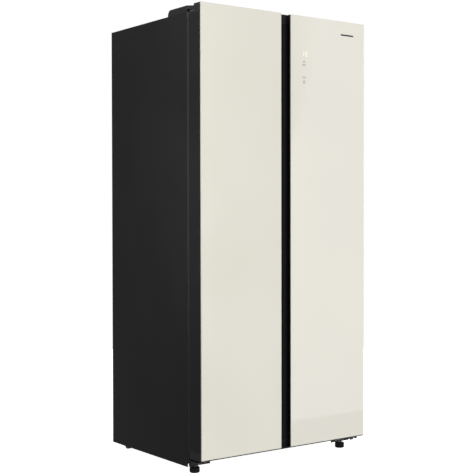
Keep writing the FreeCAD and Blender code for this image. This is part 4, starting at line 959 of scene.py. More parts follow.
@dataclass
class Door:
    """One door: glass front, end caps, grip profile, side sheet, formed back, seal and bins.

    Attributes:
        half: Which door it is.
        glass: Finish of its front.
        inlay_depth_mm: How far the glass face lies behind the marks printed on it.
        arris_mm: Ground edge of the glass.
        cap_edge_mm: Rounds of the end caps.
        channel_edge_mm: Rounds of the grip channel.
        back_edge_mm: Rounds of the formed back.
        trim_mm: Depth of the strip under the glass.
        trim_gap_mm: Gap over and under that strip.
        trim_stop_mm: How far the fridge door's strip ends before the hinge side.
        lip_mm: Width of the fin in the seam.
        lip_inset_mm: How far the fin lies in from the cabinet's side.
        bin_round_mm: Corners of the bins.
        bin_wall_mm: Walls of the bins.
        bin_count: Bins one above the other.
        rail_mm: Inset, depth and height of the rail along a bin's rim.
        rail_round_mm: Rounds of that rail.
    """

    half: Half
    glass: Finish
    inlay_depth_mm: float = 0.15
    arris_mm: float = 0.8
    cap_edge_mm: float = 0.8
    channel_edge_mm: float = 1.2
    back_edge_mm: float = 1.8
    trim_mm: float = 3.0
    trim_gap_mm: float = 0.2
    trim_stop_mm: float = 17.0
    lip_mm: float = 10.0
    lip_inset_mm: float = 1.8
    bin_round_mm: float = 12.0
    bin_wall_mm: float = 2.5
    bin_count: int = 5
    rail_mm: Corner = (2.0, 6.0, 9.0)
    rail_round_mm: float = 1.8

    def build(self) -> None:
        """Make every piece of the door."""
        self.front()
        self.soften("door_end_caps", "moulded_caps", BLACK_ABS, "black_plastic", self.cap_edge_mm)
        self.soften("door_grip", "grip_channel", DARK_PROFILE, "grip_profile", self.channel_edge_mm, 3)
        dress(BLACK_STEEL, self.half.node("door_side_panel"))
        dress(PU_FOAM, self.half.node("door_foam"))
        self.trim()
        self.soften("door_liner", "formed_back", WHITE_LINER, "white_liner", self.back_edge_mm, 3)
        self.seal()
        self.seam_lip()
        self.bins()

    def soften(self, part: str, name: str, finish: Finish, slot: str, width_mm: float,
               segments: int = 2) -> None:
        """Replace one of the door's parts by a copy with rounded edges.

        Args:
            part: CAD part of this door.
            name: Name of the new piece, after the door's own.
            finish: Its finish.
            slot: Material slot of the record.
            width_mm: Width of the rounds.
            segments: Faces across each round.
        """
        half = self.half
        softened(half.node(part), f"{half.value}_{name}", half.door(), finish, slot, width_mm, segments)

    def add(self, piece: Piece, name: str, finish: Finish, slot: str, *parts: str) -> None:
        """Ride a piece on this door.

        Args:
            piece: The piece.
            name: Its name, after the door's own.
            finish: Its finish.
            slot: Material slot of the record.
            *parts: CAD parts of this door that it replaces.
        """
        half = self.half
        piece.done(f"{half.value}_{name}", half.door(), finish, slot, [half.node(part) for part in parts])

    def front(self) -> None:
        """Glass with ground and polished edges."""
        low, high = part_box(self.half.node("door_glass"))
        face = low.y + self.inlay_depth_mm * MM
        piece = Piece()
        made = piece.block((low.x, face, low.z), high)
        rim = {
            edge for vert in made for edge in vert.link_edges
            if all(abs(end.co.y - face) < SAME for end in edge.verts)
        }
        piece.bevel(rim, self.arris_mm, 2)
        piece.inlay(POLISHED_EDGE, lambda found: abs(found.normal.y) < 0.98)
        self.add(piece, "front_glass", self.glass, "door_glass", "door_glass")

    def trim(self) -> None:
        """Satin strip under the glass, along the front of the lower cap."""
        low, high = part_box(self.half.node("door_end_caps"))
        glass_low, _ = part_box(self.half.node("door_glass"))
        end = high.x - (self.trim_stop_mm * MM if self.half is Half.FRIDGE else 0.0)
        gap = self.trim_gap_mm * MM
        piece = Piece()
        piece.block(
            (low.x, low.y, low.z + gap), (end, low.y + self.trim_mm * MM, glass_low.z - gap), 0.4, 2
        )
        self.add(piece, "foot_trim", TRIM_DARK, "black_plastic")

    def seal(self) -> None:
        """Magnetic seal: foot strip, bellows and magnet pocket in one section."""
        low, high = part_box(self.half.node("door_gasket"))
        depth = high.y - low.y
        piece = Piece()
        # Inset and width in millimetres, then start and end as shares of the depth.
        rows = ((0.0, 16.0, 0.0, 0.22), (3.0, 9.0, 0.2, 0.4), (1.0, 14.0, 0.38, 0.5),
                (4.0, 8.0, 0.48, 0.62), (0.5, 15.0, 0.6, 1.0))
        for inset_mm, width_mm, start, end in rows:
            step = inset_mm * MM
            piece.band(
                (low.x + step, low.z + step), (high.x - step, high.z - step), width_mm,
                low.y + depth * start, low.y + depth * end, 0.6,
            )
        self.add(piece, "seal", SEAL_PVC, "seal_rubber", "door_gasket")

    def seam_lip(self) -> None:
        """Soft black fin round the back of the door, which shades the gap to the cabinet."""
        low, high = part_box(self.half.node("door_foam"))
        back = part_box(self.half.node("door_side_panel"))[1].y
        cabinet_low, cabinet_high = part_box("cabinet_shell")
        outer = self.half.outward() * (cabinet_high.x - self.lip_inset_mm * MM)
        free = low.x if self.half is Half.FRIDGE else high.x
        left, right = sorted((outer, free))
        piece = Piece()
        # It ends half way to the cabinet, which leaves room for the swing.
        piece.band(
            (left, low.z), (right, high.z), self.lip_mm, back, (back + cabinet_low.y) / 2, 0.5
        )
        self.add(piece, "seam_lip", SEAM_PVC, "seal_rubber")

    def bins(self) -> None:
        """Clear bins with rounded corners and a thick lip."""
        node = self.half.node("door_bins")
        low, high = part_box(node)
        levels = sorted({round(vert.co.z, 4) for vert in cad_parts[node].data.vertices})
        height = levels[2] - levels[0]
        pitch = (high.z - height - low.z) / (self.bin_count - 1)
        for number in range(self.bin_count):
            base = low.z + pitch * number
            piece = Piece()
            piece.open_box(
                (low.x, low.y, base), (high.x, high.y, base + height), self.bin_round_mm, self.bin_wall_mm
            )
            replaced = ("door_bins",) if number == 0 else ()
            self.add(piece, f"bin_{number + 1}", CLEAR_PS, "clear_plastic", *replaced)
            inset, depth, drop = (value * MM for value in self.rail_mm)
            rail = Piece()
            rail.block(
                (low.x + inset, high.y - depth, base + height - drop),
                (high.x - inset, high.y, base + height), self.rail_round_mm,
            )
            self.add(rail, f"bin_{number + 1}_lip", TRIM_METAL, "clear_plastic")


class Segment(Enum):
    """Bars of a seven-segment digit, as start and end in digit widths and heights."""

    TOP = ((0.0, 1.0), (1.0, 1.0))
    UPPER_LEFT = ((0.0, 0.5), (0.0, 1.0))
    UPPER_RIGHT = ((1.0, 0.5), (1.0, 1.0))
    MIDDLE = ((0.0, 0.5), (1.0, 0.5))
    LOWER_LEFT = ((0.0, 0.0), (0.0, 0.5))
    LOWER_RIGHT = ((1.0, 0.0), (1.0, 0.5))
    BOTTOM = ((0.0, 0.0), (1.0, 0.0))


DIGITS: dict[int, tuple[Segment, ...]] = {
    1: (Segment.UPPER_RIGHT, Segment.LOWER_RIGHT),
    8: tuple(Segment),
}


@dataclass
class DisplayPanel:
    """Touch display behind the fridge door's glass: lit digits and printed symbols.

    Attributes:
        digit_width_mm: Width of a digit.
        digit_height_mm: Height of a digit.
        bar_mm: Width of a segment and of the symbols' strokes.
        lit_inset_mm: Left edge of the first digit from the board's edge.
        lit_drop_mm: Foot of the digits under the board's top.
        digit_steps_mm: Left edges of the two digits from there.
        symbol_step_mm: Middle of the symbols from there.
        symbol_drops_mm: Middles of the symbols under the board's top.
        film_mm: Thickness of the marks.
        front: Y of the glass's face, found as the panel is built.
    """

    digit_width_mm: float = 8.5
    digit_height_mm: float = 20.0
    bar_mm: float = 2.2
    lit_inset_mm: float = 12.0
    lit_drop_mm: float = 36.0
    digit_steps_mm: tuple[float, float] = (-2.0, 16.0)
    symbol_step_mm: float = 9.0
    symbol_drops_mm: tuple[float, ...] = (58.0, 71.0, 120.0, 139.0)
    film_mm: float = 0.1
    front: float = 0.0

    def build(self) -> None:
        """Make the board, digits and symbols."""
        dress(BOARD_GREEN, "display_board")
        low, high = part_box("display_board")
        glass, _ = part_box("fridge_door_glass")
        self.front = glass.y
        left = low.x + self.lit_inset_mm * MM
        foot = high.z - self.lit_drop_mm * MM
        for number, place, step_mm in zip((1, 8), ("tens", "units"), self.digit_steps_mm):
            self.digit(number, left + step_mm * MM, foot, place)
        centre = left + self.symbol_step_mm * MM
        levels = [high.z - drop * MM for drop in self.symbol_drops_mm]
        self.snow_symbol(centre, levels[0])
        self.bar_symbol(centre, levels[1])
        self.bar_symbol(centre, levels[2])
        self.ring_symbol(centre, levels[3])

    def stroke(self, piece: Piece, start: tuple[float, float], end: tuple[float, float],
               width_mm: float) -> None:
        """Add one straight flat stroke with bevelled ends.

        Args:
            piece: Piece that it is part of.
            start: X and Z of one end.
            end: X and Z of the other end.
            width_mm: Width of the stroke.
        """
        first, last = Vector((start[0], 0.0, start[1])), Vector((end[0], 0.0, end[1]))
        along = (last - first).normalized()
        across = Vector((-along.z, 0.0, along.x)) * width_mm * MM / 2
        point = along * width_mm * MM / 2
        corners = (first + across, first - point, first - across, last - across, last + point, last + across)
        outline = [(spot.x, spot.z) for spot in corners]
        piece.prism(outline, Axis.Y, self.front, self.front + self.film_mm * MM)

    def digit(self, number: int, left: float, foot: float, place: str) -> None:
        """Make one lit digit."""
        piece = Piece()
        gap = self.bar_mm * MM * 0.6
        for segment in DIGITS[number]:
            (x0, z0), (x1, z1) = segment.value
            first = Vector((left + x0 * self.digit_width_mm * MM, foot + z0 * self.digit_height_mm * MM))
            last = Vector((left + x1 * self.digit_width_mm * MM, foot + z1 * self.digit_height_mm * MM))
            inward = (last - first).normalized() * gap
            self.stroke(piece, tuple(first + inward), tuple(last - inward), self.bar_mm)
        piece.done(f"display_digit_{place}", Body.FRIDGE_DOOR, SEGMENT, "door_glass")

    def snow_symbol(self, x: float, z: float, reach_mm: float = 6.0) -> None:
        """Six-armed star, as for cold."""
        piece = Piece()
        for turn in range(3):
            angle = math.radians(60 * turn + 30)
            dx, dz = math.cos(angle) * reach_mm * MM, math.sin(angle) * reach_mm * MM
            self.stroke(piece, (x - dx, z - dz), (x + dx, z + dz), 1.4)
        piece.done("display_star", Body.FRIDGE_DOOR, SYMBOL_INK, "door_glass")

    def bar_symbol(self, x: float, z: float, reach_mm: float = 8.0) -> None:
        """Pair of level bars."""
        piece = Piece()
        for rise in (-2.2, 2.2):
            level = z + rise * MM
            self.stroke(piece, (x - reach_mm * MM, level), (x + reach_mm * MM, level), 1.8)
        piece.done(f"display_bars_{round(z / MM)}", Body.FRIDGE_DOOR, SYMBOL_INK, "door_glass")

    def ring_symbol(self, x: float, z: float, radius_mm: float = 6.0) -> None:
        """Ring with a stem, as on a touch key."""
        piece = Piece()
        width_mm = 1.6
        inner_mm = radius_mm - width_mm
        section = ((inner_mm, 0.0), (radius_mm, 0.0), (radius_mm, self.film_mm), (inner_mm, self.film_mm),
                   (inner_mm, 0.0))
        piece.turned(section, (x, self.front, z), Axis.Y, 32)
        self.stroke(piece, (x, z + MM), (x, z + radius_mm * MM), width_mm)
        piece.done("display_key", Body.FRIDGE_DOOR, SYMBOL_INK, "door_glass")


@dataclass
class Badge:
    """Plain bar at the top of the fridge door, with no lettering.

    Attributes:
        length_mm: Its length.
        height_mm: Its height.
        side_mm: Its right end in from the side of the door.
        drop_mm: Its middle under the top of the door.
        thickness_mm: How thick it is.
    """

    length_mm: float = 68.0
    height_mm: float = 6.0
    side_mm: float = 60.0
    drop_mm: float = 54.0
    thickness_mm: float = 0.14

    def build(self) -> None:
        """Make the bar."""
        low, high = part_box("fridge_door_glass")
        right = high.x - self.side_mm * MM
        left = right - self.length_mm * MM
        level = high.z - self.drop_mm * MM
        half = self.height_mm * MM / 2
        back = low.y + self.thickness_mm * MM
        piece = Piece()
        piece.block((left, low.y, level - half), (right, back, level + half), 0.05, 1)
        piece.done("plain_badge", Body.FRIDGE_DOOR, BADGE_METAL, "hinge_steel")


@dataclass
class CabinetBody:
    """Outer skin, hinge cover, hinges and rear of the cabinet.

    Attributes:
        cover_round_mm: Rear top round of the hinge cover.
        cover_edge_mm: Round of its other edges.
        nose_mm: Height of its front over the doors.
        corner_mm: Cut of its front corners, along the front and along the side.
        pin_mm: Lower hinge pin in from the bracket's outer side and back from its front.
        nut_levels_mm: Heights of the pin's foot, the nut's foot, the nut's top and the washer's top.
        screw_mm: Head radius of the rear screws.
        screw_edge_mm: Rear screws in from the cover's edges.
        turn_up_mm: Front bar of the floor plate above the feet's flange.
    """

    cover_round_mm: float = 20.0
    cover_edge_mm: float = 1.5
    nose_mm: float = 14.0
    corner_mm: tuple[float, float] = (36.0, 30.0)
    pin_mm: tuple[float, float] = (15.0, 22.5)
    nut_levels_mm: tuple[float, float, float, float] = (36.5, 40.5, 48.8, 49.9)
    screw_mm: float = 4.0
    screw_edge_mm: float = 8.0
    turn_up_mm: float = 13.0

    def build(self) -> None:
        """Make and dress the cabinet."""
        cabinet = Body.CABINET
        softened("cabinet_shell", "outer_wrap", cabinet, BLACK_STEEL, "black_steel", 0.6)
        # The front frame's grey is painted light against the shade in the seam.
        dress(FRAME_STEEL_PAINTED_LIGHT, "front_frame")
        dress(GALVANISED, "rear_panel", "compressor_plate")
        self.base_plate()
        dress(PU_FOAM, "cabinet_foam")
        softened("machine_cover", "vented_cover", cabinet, BLACK_STEEL, "black_steel", 0.4)
        softened("power_inlet", "cord_bush", cabinet, RUBBER, "black_plastic", 0.6)
        self.hinge_cover()
        self.hinges()
        self.rear_screws()

    def base_plate(self) -> None:
        """Pressed floor plate, its front bar turned up clear of the feet's flange."""
        piece = merged_copy("base_frame")
        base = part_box("cabinet_shell")[0].z
        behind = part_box("levelling_foot_left")[1].y
        rise = self.turn_up_mm * MM
        for vert in piece.bm.verts:
            if vert.co.y < behind + MM and vert.co.z < base + rise / 2:
                vert.co.z += rise
        piece.done("base_plate", Body.CABINET, GALVANISED, "plain_steel", ("base_frame",))

    def hinge_cover(self) -> None:
        """Cover over the upper hinges: flat top, a quarter round down to an upright back."""
        low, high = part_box("hinge_cover")
        radius = self.cover_round_mm * MM
        steps = 8
        turns = [math.pi / 2 * step / steps for step in range(steps + 1)]
        arc = [
            (high.y - radius + radius * math.sin(turn), high.z - radius + radius * math.cos(turn))
            for turn in turns
        ]
        door_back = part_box("cabinet_shell")[0].y
        nose = high.z - self.nose_mm * MM
        outline = [
            (low.y, nose), (low.y, high.z), *arc, (high.y, low.z), (door_back, low.z), (door_back, nose),
        ]
        piece = Piece()
        piece.prism(outline, Axis.X, low.x, high.x)
        self.cut_corners(piece, low, high)
        bmesh.ops.recalc_face_normals(piece.bm, faces=piece.bm.faces)
        edges = [
            edge for edge in piece.bm.edges
            if len(edge.link_faces) == 2 and edge.calc_face_angle() > math.radians(30)
            and min(end.co.z for end in edge.verts) > nose + 2 * MM
        ]
        piece.bevel(edges, self.cover_edge_mm, 3)
        piece.done("hinge_cover_shell", Body.CABINET, BLACK_ABS, "black_plastic", ("hinge_cover",))

    def cut_corners(self, piece: Piece, low: Vector, high: Vector) -> None:
        """Cut both front corners back for the doors, and close the cuts."""
        along, back = (value * MM for value in self.corner_mm)
        for sign, side in ((-1, low.x), (1, high.x)):
            corner = Vector((side - sign * along, low.y, high.z))
            normal = Vector((sign * back, -along, 0.0))
            cut = bmesh.ops.bisect_plane(
                piece.bm, geom=[*piece.bm.verts, *piece.bm.edges, *piece.bm.faces], dist=SAME,
                plane_co=corner, plane_no=normal, clear_outer=True,
            )["geom_cut"]
            bmesh.ops.contextual_create(
                piece.bm, geom=[item for item in cut if isinstance(item, bmesh.types.BMEdge)]
            )

    def hinges(self) -> None:
        """Upper and lower hinges with their screws."""
        for half in Half:
            for part, level, finish in (("top", "upper", HINGE_PAINT), ("bottom", "lower", BRACKET_STEEL)):
                softened(
                    half.node(f"{part}_hinge"), f"{half.value}_{level}_hinge", Body.CABINET, finish,
                    "hinge_steel", 0.5,
                )
            self.nut(half)
        softened("hinge_screws", "hinge_screw_heads", Body.CABINET, ZINC_STEEL, "hinge_steel", 0.8)

    def nut(self, half: Half) -> None:
        """Bright washer and nut under the lower hinge."""
        low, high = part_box(half.node("bottom_hinge"))
        inward, back = (value * MM for value in self.pin_mm)
        x = half.outward() * (max(abs(low.x), abs(high.x)) - inward)
        foot, nut_foot, nut_top, washer_top = ((x, low.y + back, level * MM) for level in self.nut_levels_mm)
        piece = Piece()
        piece.turned(((5.0, 0.0), (11.0, 0.0), (11.0, -1.2), (5.0, -1.2), (5.0, 0.0)), washer_top)
        piece.rod(nut_foot, nut_top, 9.0, 6, None, 0.6)
        piece.rod(foot, nut_foot, 4.2, 16, 3.6)
        piece.done(f"{half.value}_hinge_nut", Body.CABINET, ZINC_STEEL, "hinge_steel")

    def rear_screws(self) -> None:
        """Pan-head screws along the top and foot of the machine cover."""
        low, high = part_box("machine_cover")
        rim = self.screw_mm
        head = ((0.0, 1.9), (1.2, 1.9), (rim * 0.8, 1.5), (rim, 0.6), (rim, 0.0), (0.0, 0.0))
        edge = self.screw_edge_mm * MM
        piece = Piece()
        for share in (0.02, 0.34, 0.66, 0.98):
            for z in (low.z + edge, high.z - edge):
                piece.turned(head, (low.x + (high.x - low.x) * share, high.y, z), Axis.Y, 16)
        piece.done("rear_screws", Body.CABINET, ZINC_STEEL, "hinge_steel")


@dataclass
class Interior:
    """What shows behind the doors: liners, shelves, drawers, air panels and lamps.

    Attributes:
        trim_mm: Height of the shelf front trims.
        trim_reach_mm: Depth of those trims behind the pane's edge.
        trim_nose_mm: Depth of those trims before it.
        rail_mm: Depth and height of the rail behind each pane.
        drawer_round_mm: Corners of the drawers.
        drawer_wall_mm: Walls of the drawers.
        rim_mm: Thickness of the drawer rims.
        rim_reach_mm: How far the rims stand out from the drawer's sides.
        pull_end_mm: Where the pull stops before the drawer's corners.
        frame_mm: Lamp diffuser in from its frame's edges.
        vane_half_mm: Half the width of the air vanes.
    """

    trim_mm: float = 12.0
    trim_reach_mm: float = 9.0
    trim_nose_mm: float = 3.0
    rail_mm: tuple[float, float] = (8.0, 6.0)
    drawer_round_mm: float = 10.0
    drawer_wall_mm: float = 3.0
    rim_mm: float = 3.0
    rim_reach_mm: float = 14.0
    pull_end_mm: float = 12.0
    frame_mm: float = 5.0
    vane_half_mm: float = 48.0

    def build(self) -> None:
        """Make and dress the inside."""
        cabinet = Body.CABINET
        for half in Half:
            name = half.value
            softened(half.node("liner"), f"{name}_formed_liner", cabinet, WHITE_LINER, "white_liner", 1.5, 3)
            softened(half.node("duct_cover"), f"{name}_air_panel", cabinet, WHITE_PANEL, "white_plastic", 0.8)
        for node in ("freezer_shelves", "fridge_shelves", "crisper_covers"):
            dress(SHELF_GLASS, node)
            self.shelf_trims(node)
        for node in ("freezer_drawer_upper", "freezer_drawer_lower", "crisper_upper", "crisper_lower"):
            self.drawer(node)
        self.lamps()
        self.fan_grille()
        self.louvres()

    def panes(self, node: str) -> list[tuple[Vector, Vector]]:
        """Boxes of the separate panes in one node, found by its loose parts."""
        bm = bmesh.new()
        bm.from_mesh(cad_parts[node].data)
        bmesh.ops.remove_doubles(bm, verts=bm.verts, dist=SAME)
        left = set(bm.verts)
        found: list[tuple[Vector, Vector]] = []
        while left:
            front = [left.pop()]
            group = list(front)
            while front:
                near = {edge.other_vert(vert) for vert in front for edge in vert.link_edges} & left
                left -= near
                group += near
                front = list(near)
            places = [vert.co for vert in group]
            found.append((
                Vector([min(place[i] for place in places) for i in range(3)]),
                Vector([max(place[i] for place in places) for i in range(3)]),
            ))
        bm.free()
        return sorted(found, key=lambda pane: (pane[0].x, pane[0].z))

    def shelf_trims(self, node: str) -> None:
        """Extruded trim along each pane's front and a thin rail behind."""
        piece = Piece()
        half = self.trim_mm * MM / 2
        depth, height = (value * MM for value in self.rail_mm)
        for low, high in self.panes(node):
            level = (low.z + high.z) / 2
            piece.block(
                (low.x, low.y - self.trim_nose_mm * MM, level - half),
                (high.x, low.y + self.trim_reach_mm * MM, level + half), 2.0,
            )
            piece.block((low.x, high.y - depth, high.z), (high.x, high.y, high.z + height), 1.2, 2)
        piece.done(f"{node}_trims", Body.CABINET, TRIM_METAL, "shelf_glass")

    def drawer(self, node: str) -> None:
        """Clear drawer with a rim on each side and a moulded pull along its front."""
        low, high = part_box(node)
        body_low, body_high = low.x + self.rim_reach_mm * MM, high.x - self.rim_reach_mm * MM
        piece = Piece()
        piece.open_box(
            (body_low, low.y, low.z), (body_high, high.y, high.z), self.drawer_round_mm, self.drawer_wall_mm
        )
        piece.done(f"{node}_tub", node, CLEAR_PS, "clear_plastic", (node,))
        rims = Piece()
        for start, end in ((low.x, body_low + MM), (body_high - MM, high.x)):
            rims.block((start, low.y + MM, high.z - self.rim_mm * MM), (end, high.y - MM, high.z), 0.8, 2)
        # Section of the pull: millimetres behind the drawer's front and under its top.
        section = ((0.0, 30.0), (-6.0, 26.0), (-8.0, 14.0), (-6.0, 2.0), (2.0, 0.0), (2.0, 30.0))
        pull = [(low.y + behind * MM, high.z - under * MM) for behind, under in section]
        rims.prism(pull, Axis.X, body_low + self.pull_end_mm * MM, body_high - self.pull_end_mm * MM)
        rims.done(f"{node}_rim", node, CLEAR_FROST, "clear_plastic")

    def lamps(self) -> None:
        """Lamp strips with a softly rounded diffuser in a white frame."""
        edge = self.frame_mm * MM
        for number, (low, high) in enumerate(self.panes("interior_lights"), start=1):
            piece = Piece()
            piece.block((low.x, low.y, low.z + 2 * MM), high, 1.5)
            stands_for = ("interior_lights",) if number == 1 else ()
            piece.done(f"lamp_frame_{number}", Body.CABINET, WHITE_PANEL, "white_plastic", stands_for)
            glow = Piece()
            glow.block(
                (low.x + edge, low.y + edge, low.z), (high.x - edge, high.y - edge, low.z + 4 * MM), 1.5
            )
            glow.done(f"lamp_diffuser_{number}", Body.CABINET, LAMP, "lamp")

    def fan_grille(self) -> None:
        """Rings and spokes over the freezer's fan."""
        low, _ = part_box("freezer_duct_cover")
        blade_low, blade_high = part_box("evaporator_fan_blade")
        centre = middle(blade_low, blade_high)
        hub = Vector((centre.x, low.y - 2 * MM, centre.z))
        wire_mm = 1.2
        piece = Piece()
        for radius in (14.0, 26.0, 38.0, 50.0, 62.0):
            inner = (radius - wire_mm, 0.0)
            section = (inner, (radius, -wire_mm), (radius + wire_mm, 0.0), (radius, wire_mm), inner)
            piece.turned(section, hub, Axis.Y, 40)
        for turn in range(8):
            angle = math.radians(45 * turn)
            out = Vector((math.cos(angle), 0.0, math.sin(angle)))
            piece.rod(hub + out * 13 * MM, hub + out * 63 * MM, wire_mm, 8)
        piece.rod(hub - Vector((0, 2 * MM, 0)), hub + Vector((0, 1.5 * MM, 0)), 14.0, 32, None, 1.0)
        piece.done("freezer_fan_grille", Body.CABINET, WHITE_PANEL, "white_plastic")

    def louvres(self) -> None:
        """Slanted vanes over the slots of the fridge's air panel."""
        low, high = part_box("fridge_duct_cover")
        centre = (low.x + high.x) / 2
        slots = sorted({
            round(vert.co.z, 4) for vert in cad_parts["fridge_duct_cover"].data.vertices
            if low.z + 10 * MM < vert.co.z < high.z - 10 * MM
        })
        half = self.vane_half_mm * MM
        # Section of a vane: millimetres behind the panel's face and over the slot's foot.
        section = ((-4.0, 1.0), (0.0, 9.0), (1.0, 8.0), (-3.0, 0.0))
        piece = Piece()
        for foot in slots[::2]:
            vane = [(low.y + behind * MM, foot + over * MM) for behind, over in section]
            piece.prism(vane, Axis.X, centre - half, centre + half)
        piece.done("fridge_air_vanes", Body.CABINET, WHITE_PANEL, "white_plastic")


@dataclass
class CoolingSystem:
    """Evaporator, fans, compressor, condenser and their pipes.

    Attributes:
        tube_mm: Radius of the coil tubes.
    """

    tube_mm: float = 4.0

    def build(self) -> None:
        """Make and dress the cooling parts."""
        dress(FIN_METAL, "evaporator", "condenser")
        dress(HEATER_GLASS, "defrost_heater")
        dress(ZINC_STEEL, "evaporator_fan_motor", "condenser_fan_motor")
        dress(BLACK_ABS, "evaporator_fan_blade", "condenser_fan_blade")
        dress(RUBBER, "compressor_grommets")
        dress(COPPER, "filter_drier")
        dress(BOARD_GREEN, "control_board")
        softened("compressor", "compressor_pot", Body.CABINET, POT_PAINT, "black_steel", 1.0)
        softened("drip_tray", "moulded_tray", Body.CABINET, WHITE_PANEL, "white_plastic", 1.0)
        self.pot_details()
        for node, rows in (("evaporator", 5), ("condenser", 6)):
            self.return_bends(node, rows)

    def pot_details(self) -> None:
        """Weld seam, terminal cover and pipe stubs of the compressor."""
        low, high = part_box("compressor")
        centre = middle(low, high)
        seam = Piece()
        weld = ((71.0, -4.0), (74.5, -3.0), (75.0, 0.0), (74.5, 3.0), (71.0, 4.0), (71.0, -4.0))
        seam.turned(weld, centre + Vector((0.0, 0.0, 0.01)))
        seam.block(centre + Vector((0.045, -0.075, -0.03)), centre + Vector((0.078, -0.03, 0.03)), 3.0)
        seam.done("compressor_seam_and_terminals", Body.CABINET, POT_PAINT, "black_steel")
        pipes = Piece()
        rise = centre.z + 0.02
        for dx, reach, up in ((-0.03, 12.0, 40.0), (0.0, 16.0, 30.0)):
            start = (centre.x + dx, centre.y + 0.065, rise)
            Pipe(pipes, start, (0, 1, 0), 3.2).run(reach).bend((0, 0, 1), 10.0).run(up).close()
        pipes.done("compressor_pipes", Body.CABINET, COPPER, "copper")

    def return_bends(self, node: str, rows: int) -> None:
        """Half-round bends that join the coil's tubes, two rows at a time."""
        low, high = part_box(node)
        piece = Piece()
        reach = high.z - low.z
        for quarter in (0.25, 0.75):
            y = low.y + (high.y - low.y) * quarter
            for row in range(rows - 1):
                sign = 1 if (row % 2 == 0) == (quarter < 0.5) else -1
                x = high.x if sign > 0 else low.x
                start = low.z + reach * (row + 0.5) / rows
                radius_mm = reach / rows / 2 / MM
                pipe = Pipe(piece, (x - sign * 2 * MM, y, start), (sign, 0, 0), self.tube_mm)
                pipe.run(2.0).bend((0, 0, 1), radius_mm, 180.0, 10).close()
        piece.done(f"{node}_return_bends", Body.CABINET, FIN_METAL, "coil_aluminium")


@dataclass
class Undercarriage:
    """Levelling feet and rear rollers.

    Attributes:
        nut_mm: Corner radius of the lock nuts.
        nut_levels_mm: Heights of a lock nut's foot and top, where the thread starts.
        thread_mm: Radius of the thread's root and of its crests.
        pitch_mm: Height of one turn of the thread.
    """

    nut_mm: float = 9.0
    nut_levels_mm: tuple[float, float] = (22.2, 26.2)
    thread_mm: tuple[float, float] = (5.0, 5.6)
    pitch_mm: float = 1.0

    def build(self) -> None:
        """Make and dress the feet and rollers."""
        dress(ZINC_STEEL, "roller_axles")
        for side, body in (("left", Body.FOOT_LEFT), ("right", Body.FOOT_RIGHT)):
            softened(body.value, f"{side}_foot_ribbed", body, BLACK_ABS, "black_plastic", 0.4)
            self.stud(body, side)
        for side, body in (("left", Body.ROLLER_LEFT), ("right", Body.ROLLER_RIGHT)):
            softened(body.value, f"{side}_roller_wheel", body, BLACK_ABS, "black_plastic", 0.6)
            self.hub(body, side)

    def stud(self, body: Body, side: str) -> None:
        """Threaded stud with its hex nut over the foot."""
        low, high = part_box(body.value)
        centre = middle(low, high)
        foot, top = self.nut_levels_mm
        root, crest = self.thread_mm
        piece = Piece()
        piece.rod((centre.x, centre.y, foot * MM), (centre.x, centre.y, top * MM), self.nut_mm, 6, None, 0.5)
        thread = []
        height = top
        while height < high.z / MM - 1.5:
            thread += [(root, height), (crest, height + self.pitch_mm / 2)]
            height += self.pitch_mm
        profile = [(0.0, top), *thread, (root, height), (0.0, height)]
        piece.turned(profile, (centre.x, centre.y, 0.0), Axis.Z, 20)
        piece.done(f"{side}_foot_stud", body, ZINC_STEEL, "hinge_steel")

    def hub(self, body: Body, side: str) -> None:
        """Raised hub on each face of the roller."""
        low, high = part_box(body.value)
        centre = middle(low, high)
        piece = Piece()
        for sign, face in ((-1, low.x), (1, high.x)):
            piece.turned(
                ((4.2, 0.0), (8.0, 0.0), (8.0, sign * 0.5), (7.4, sign * 0.8), (4.2, sign * 0.8), (4.2, 0.0)),
                (face, centre.y, centre.z), Axis.X, 24,
            )
        piece.done(f"{side}_roller_hub", body, ZINC_STEEL, "hinge_steel")


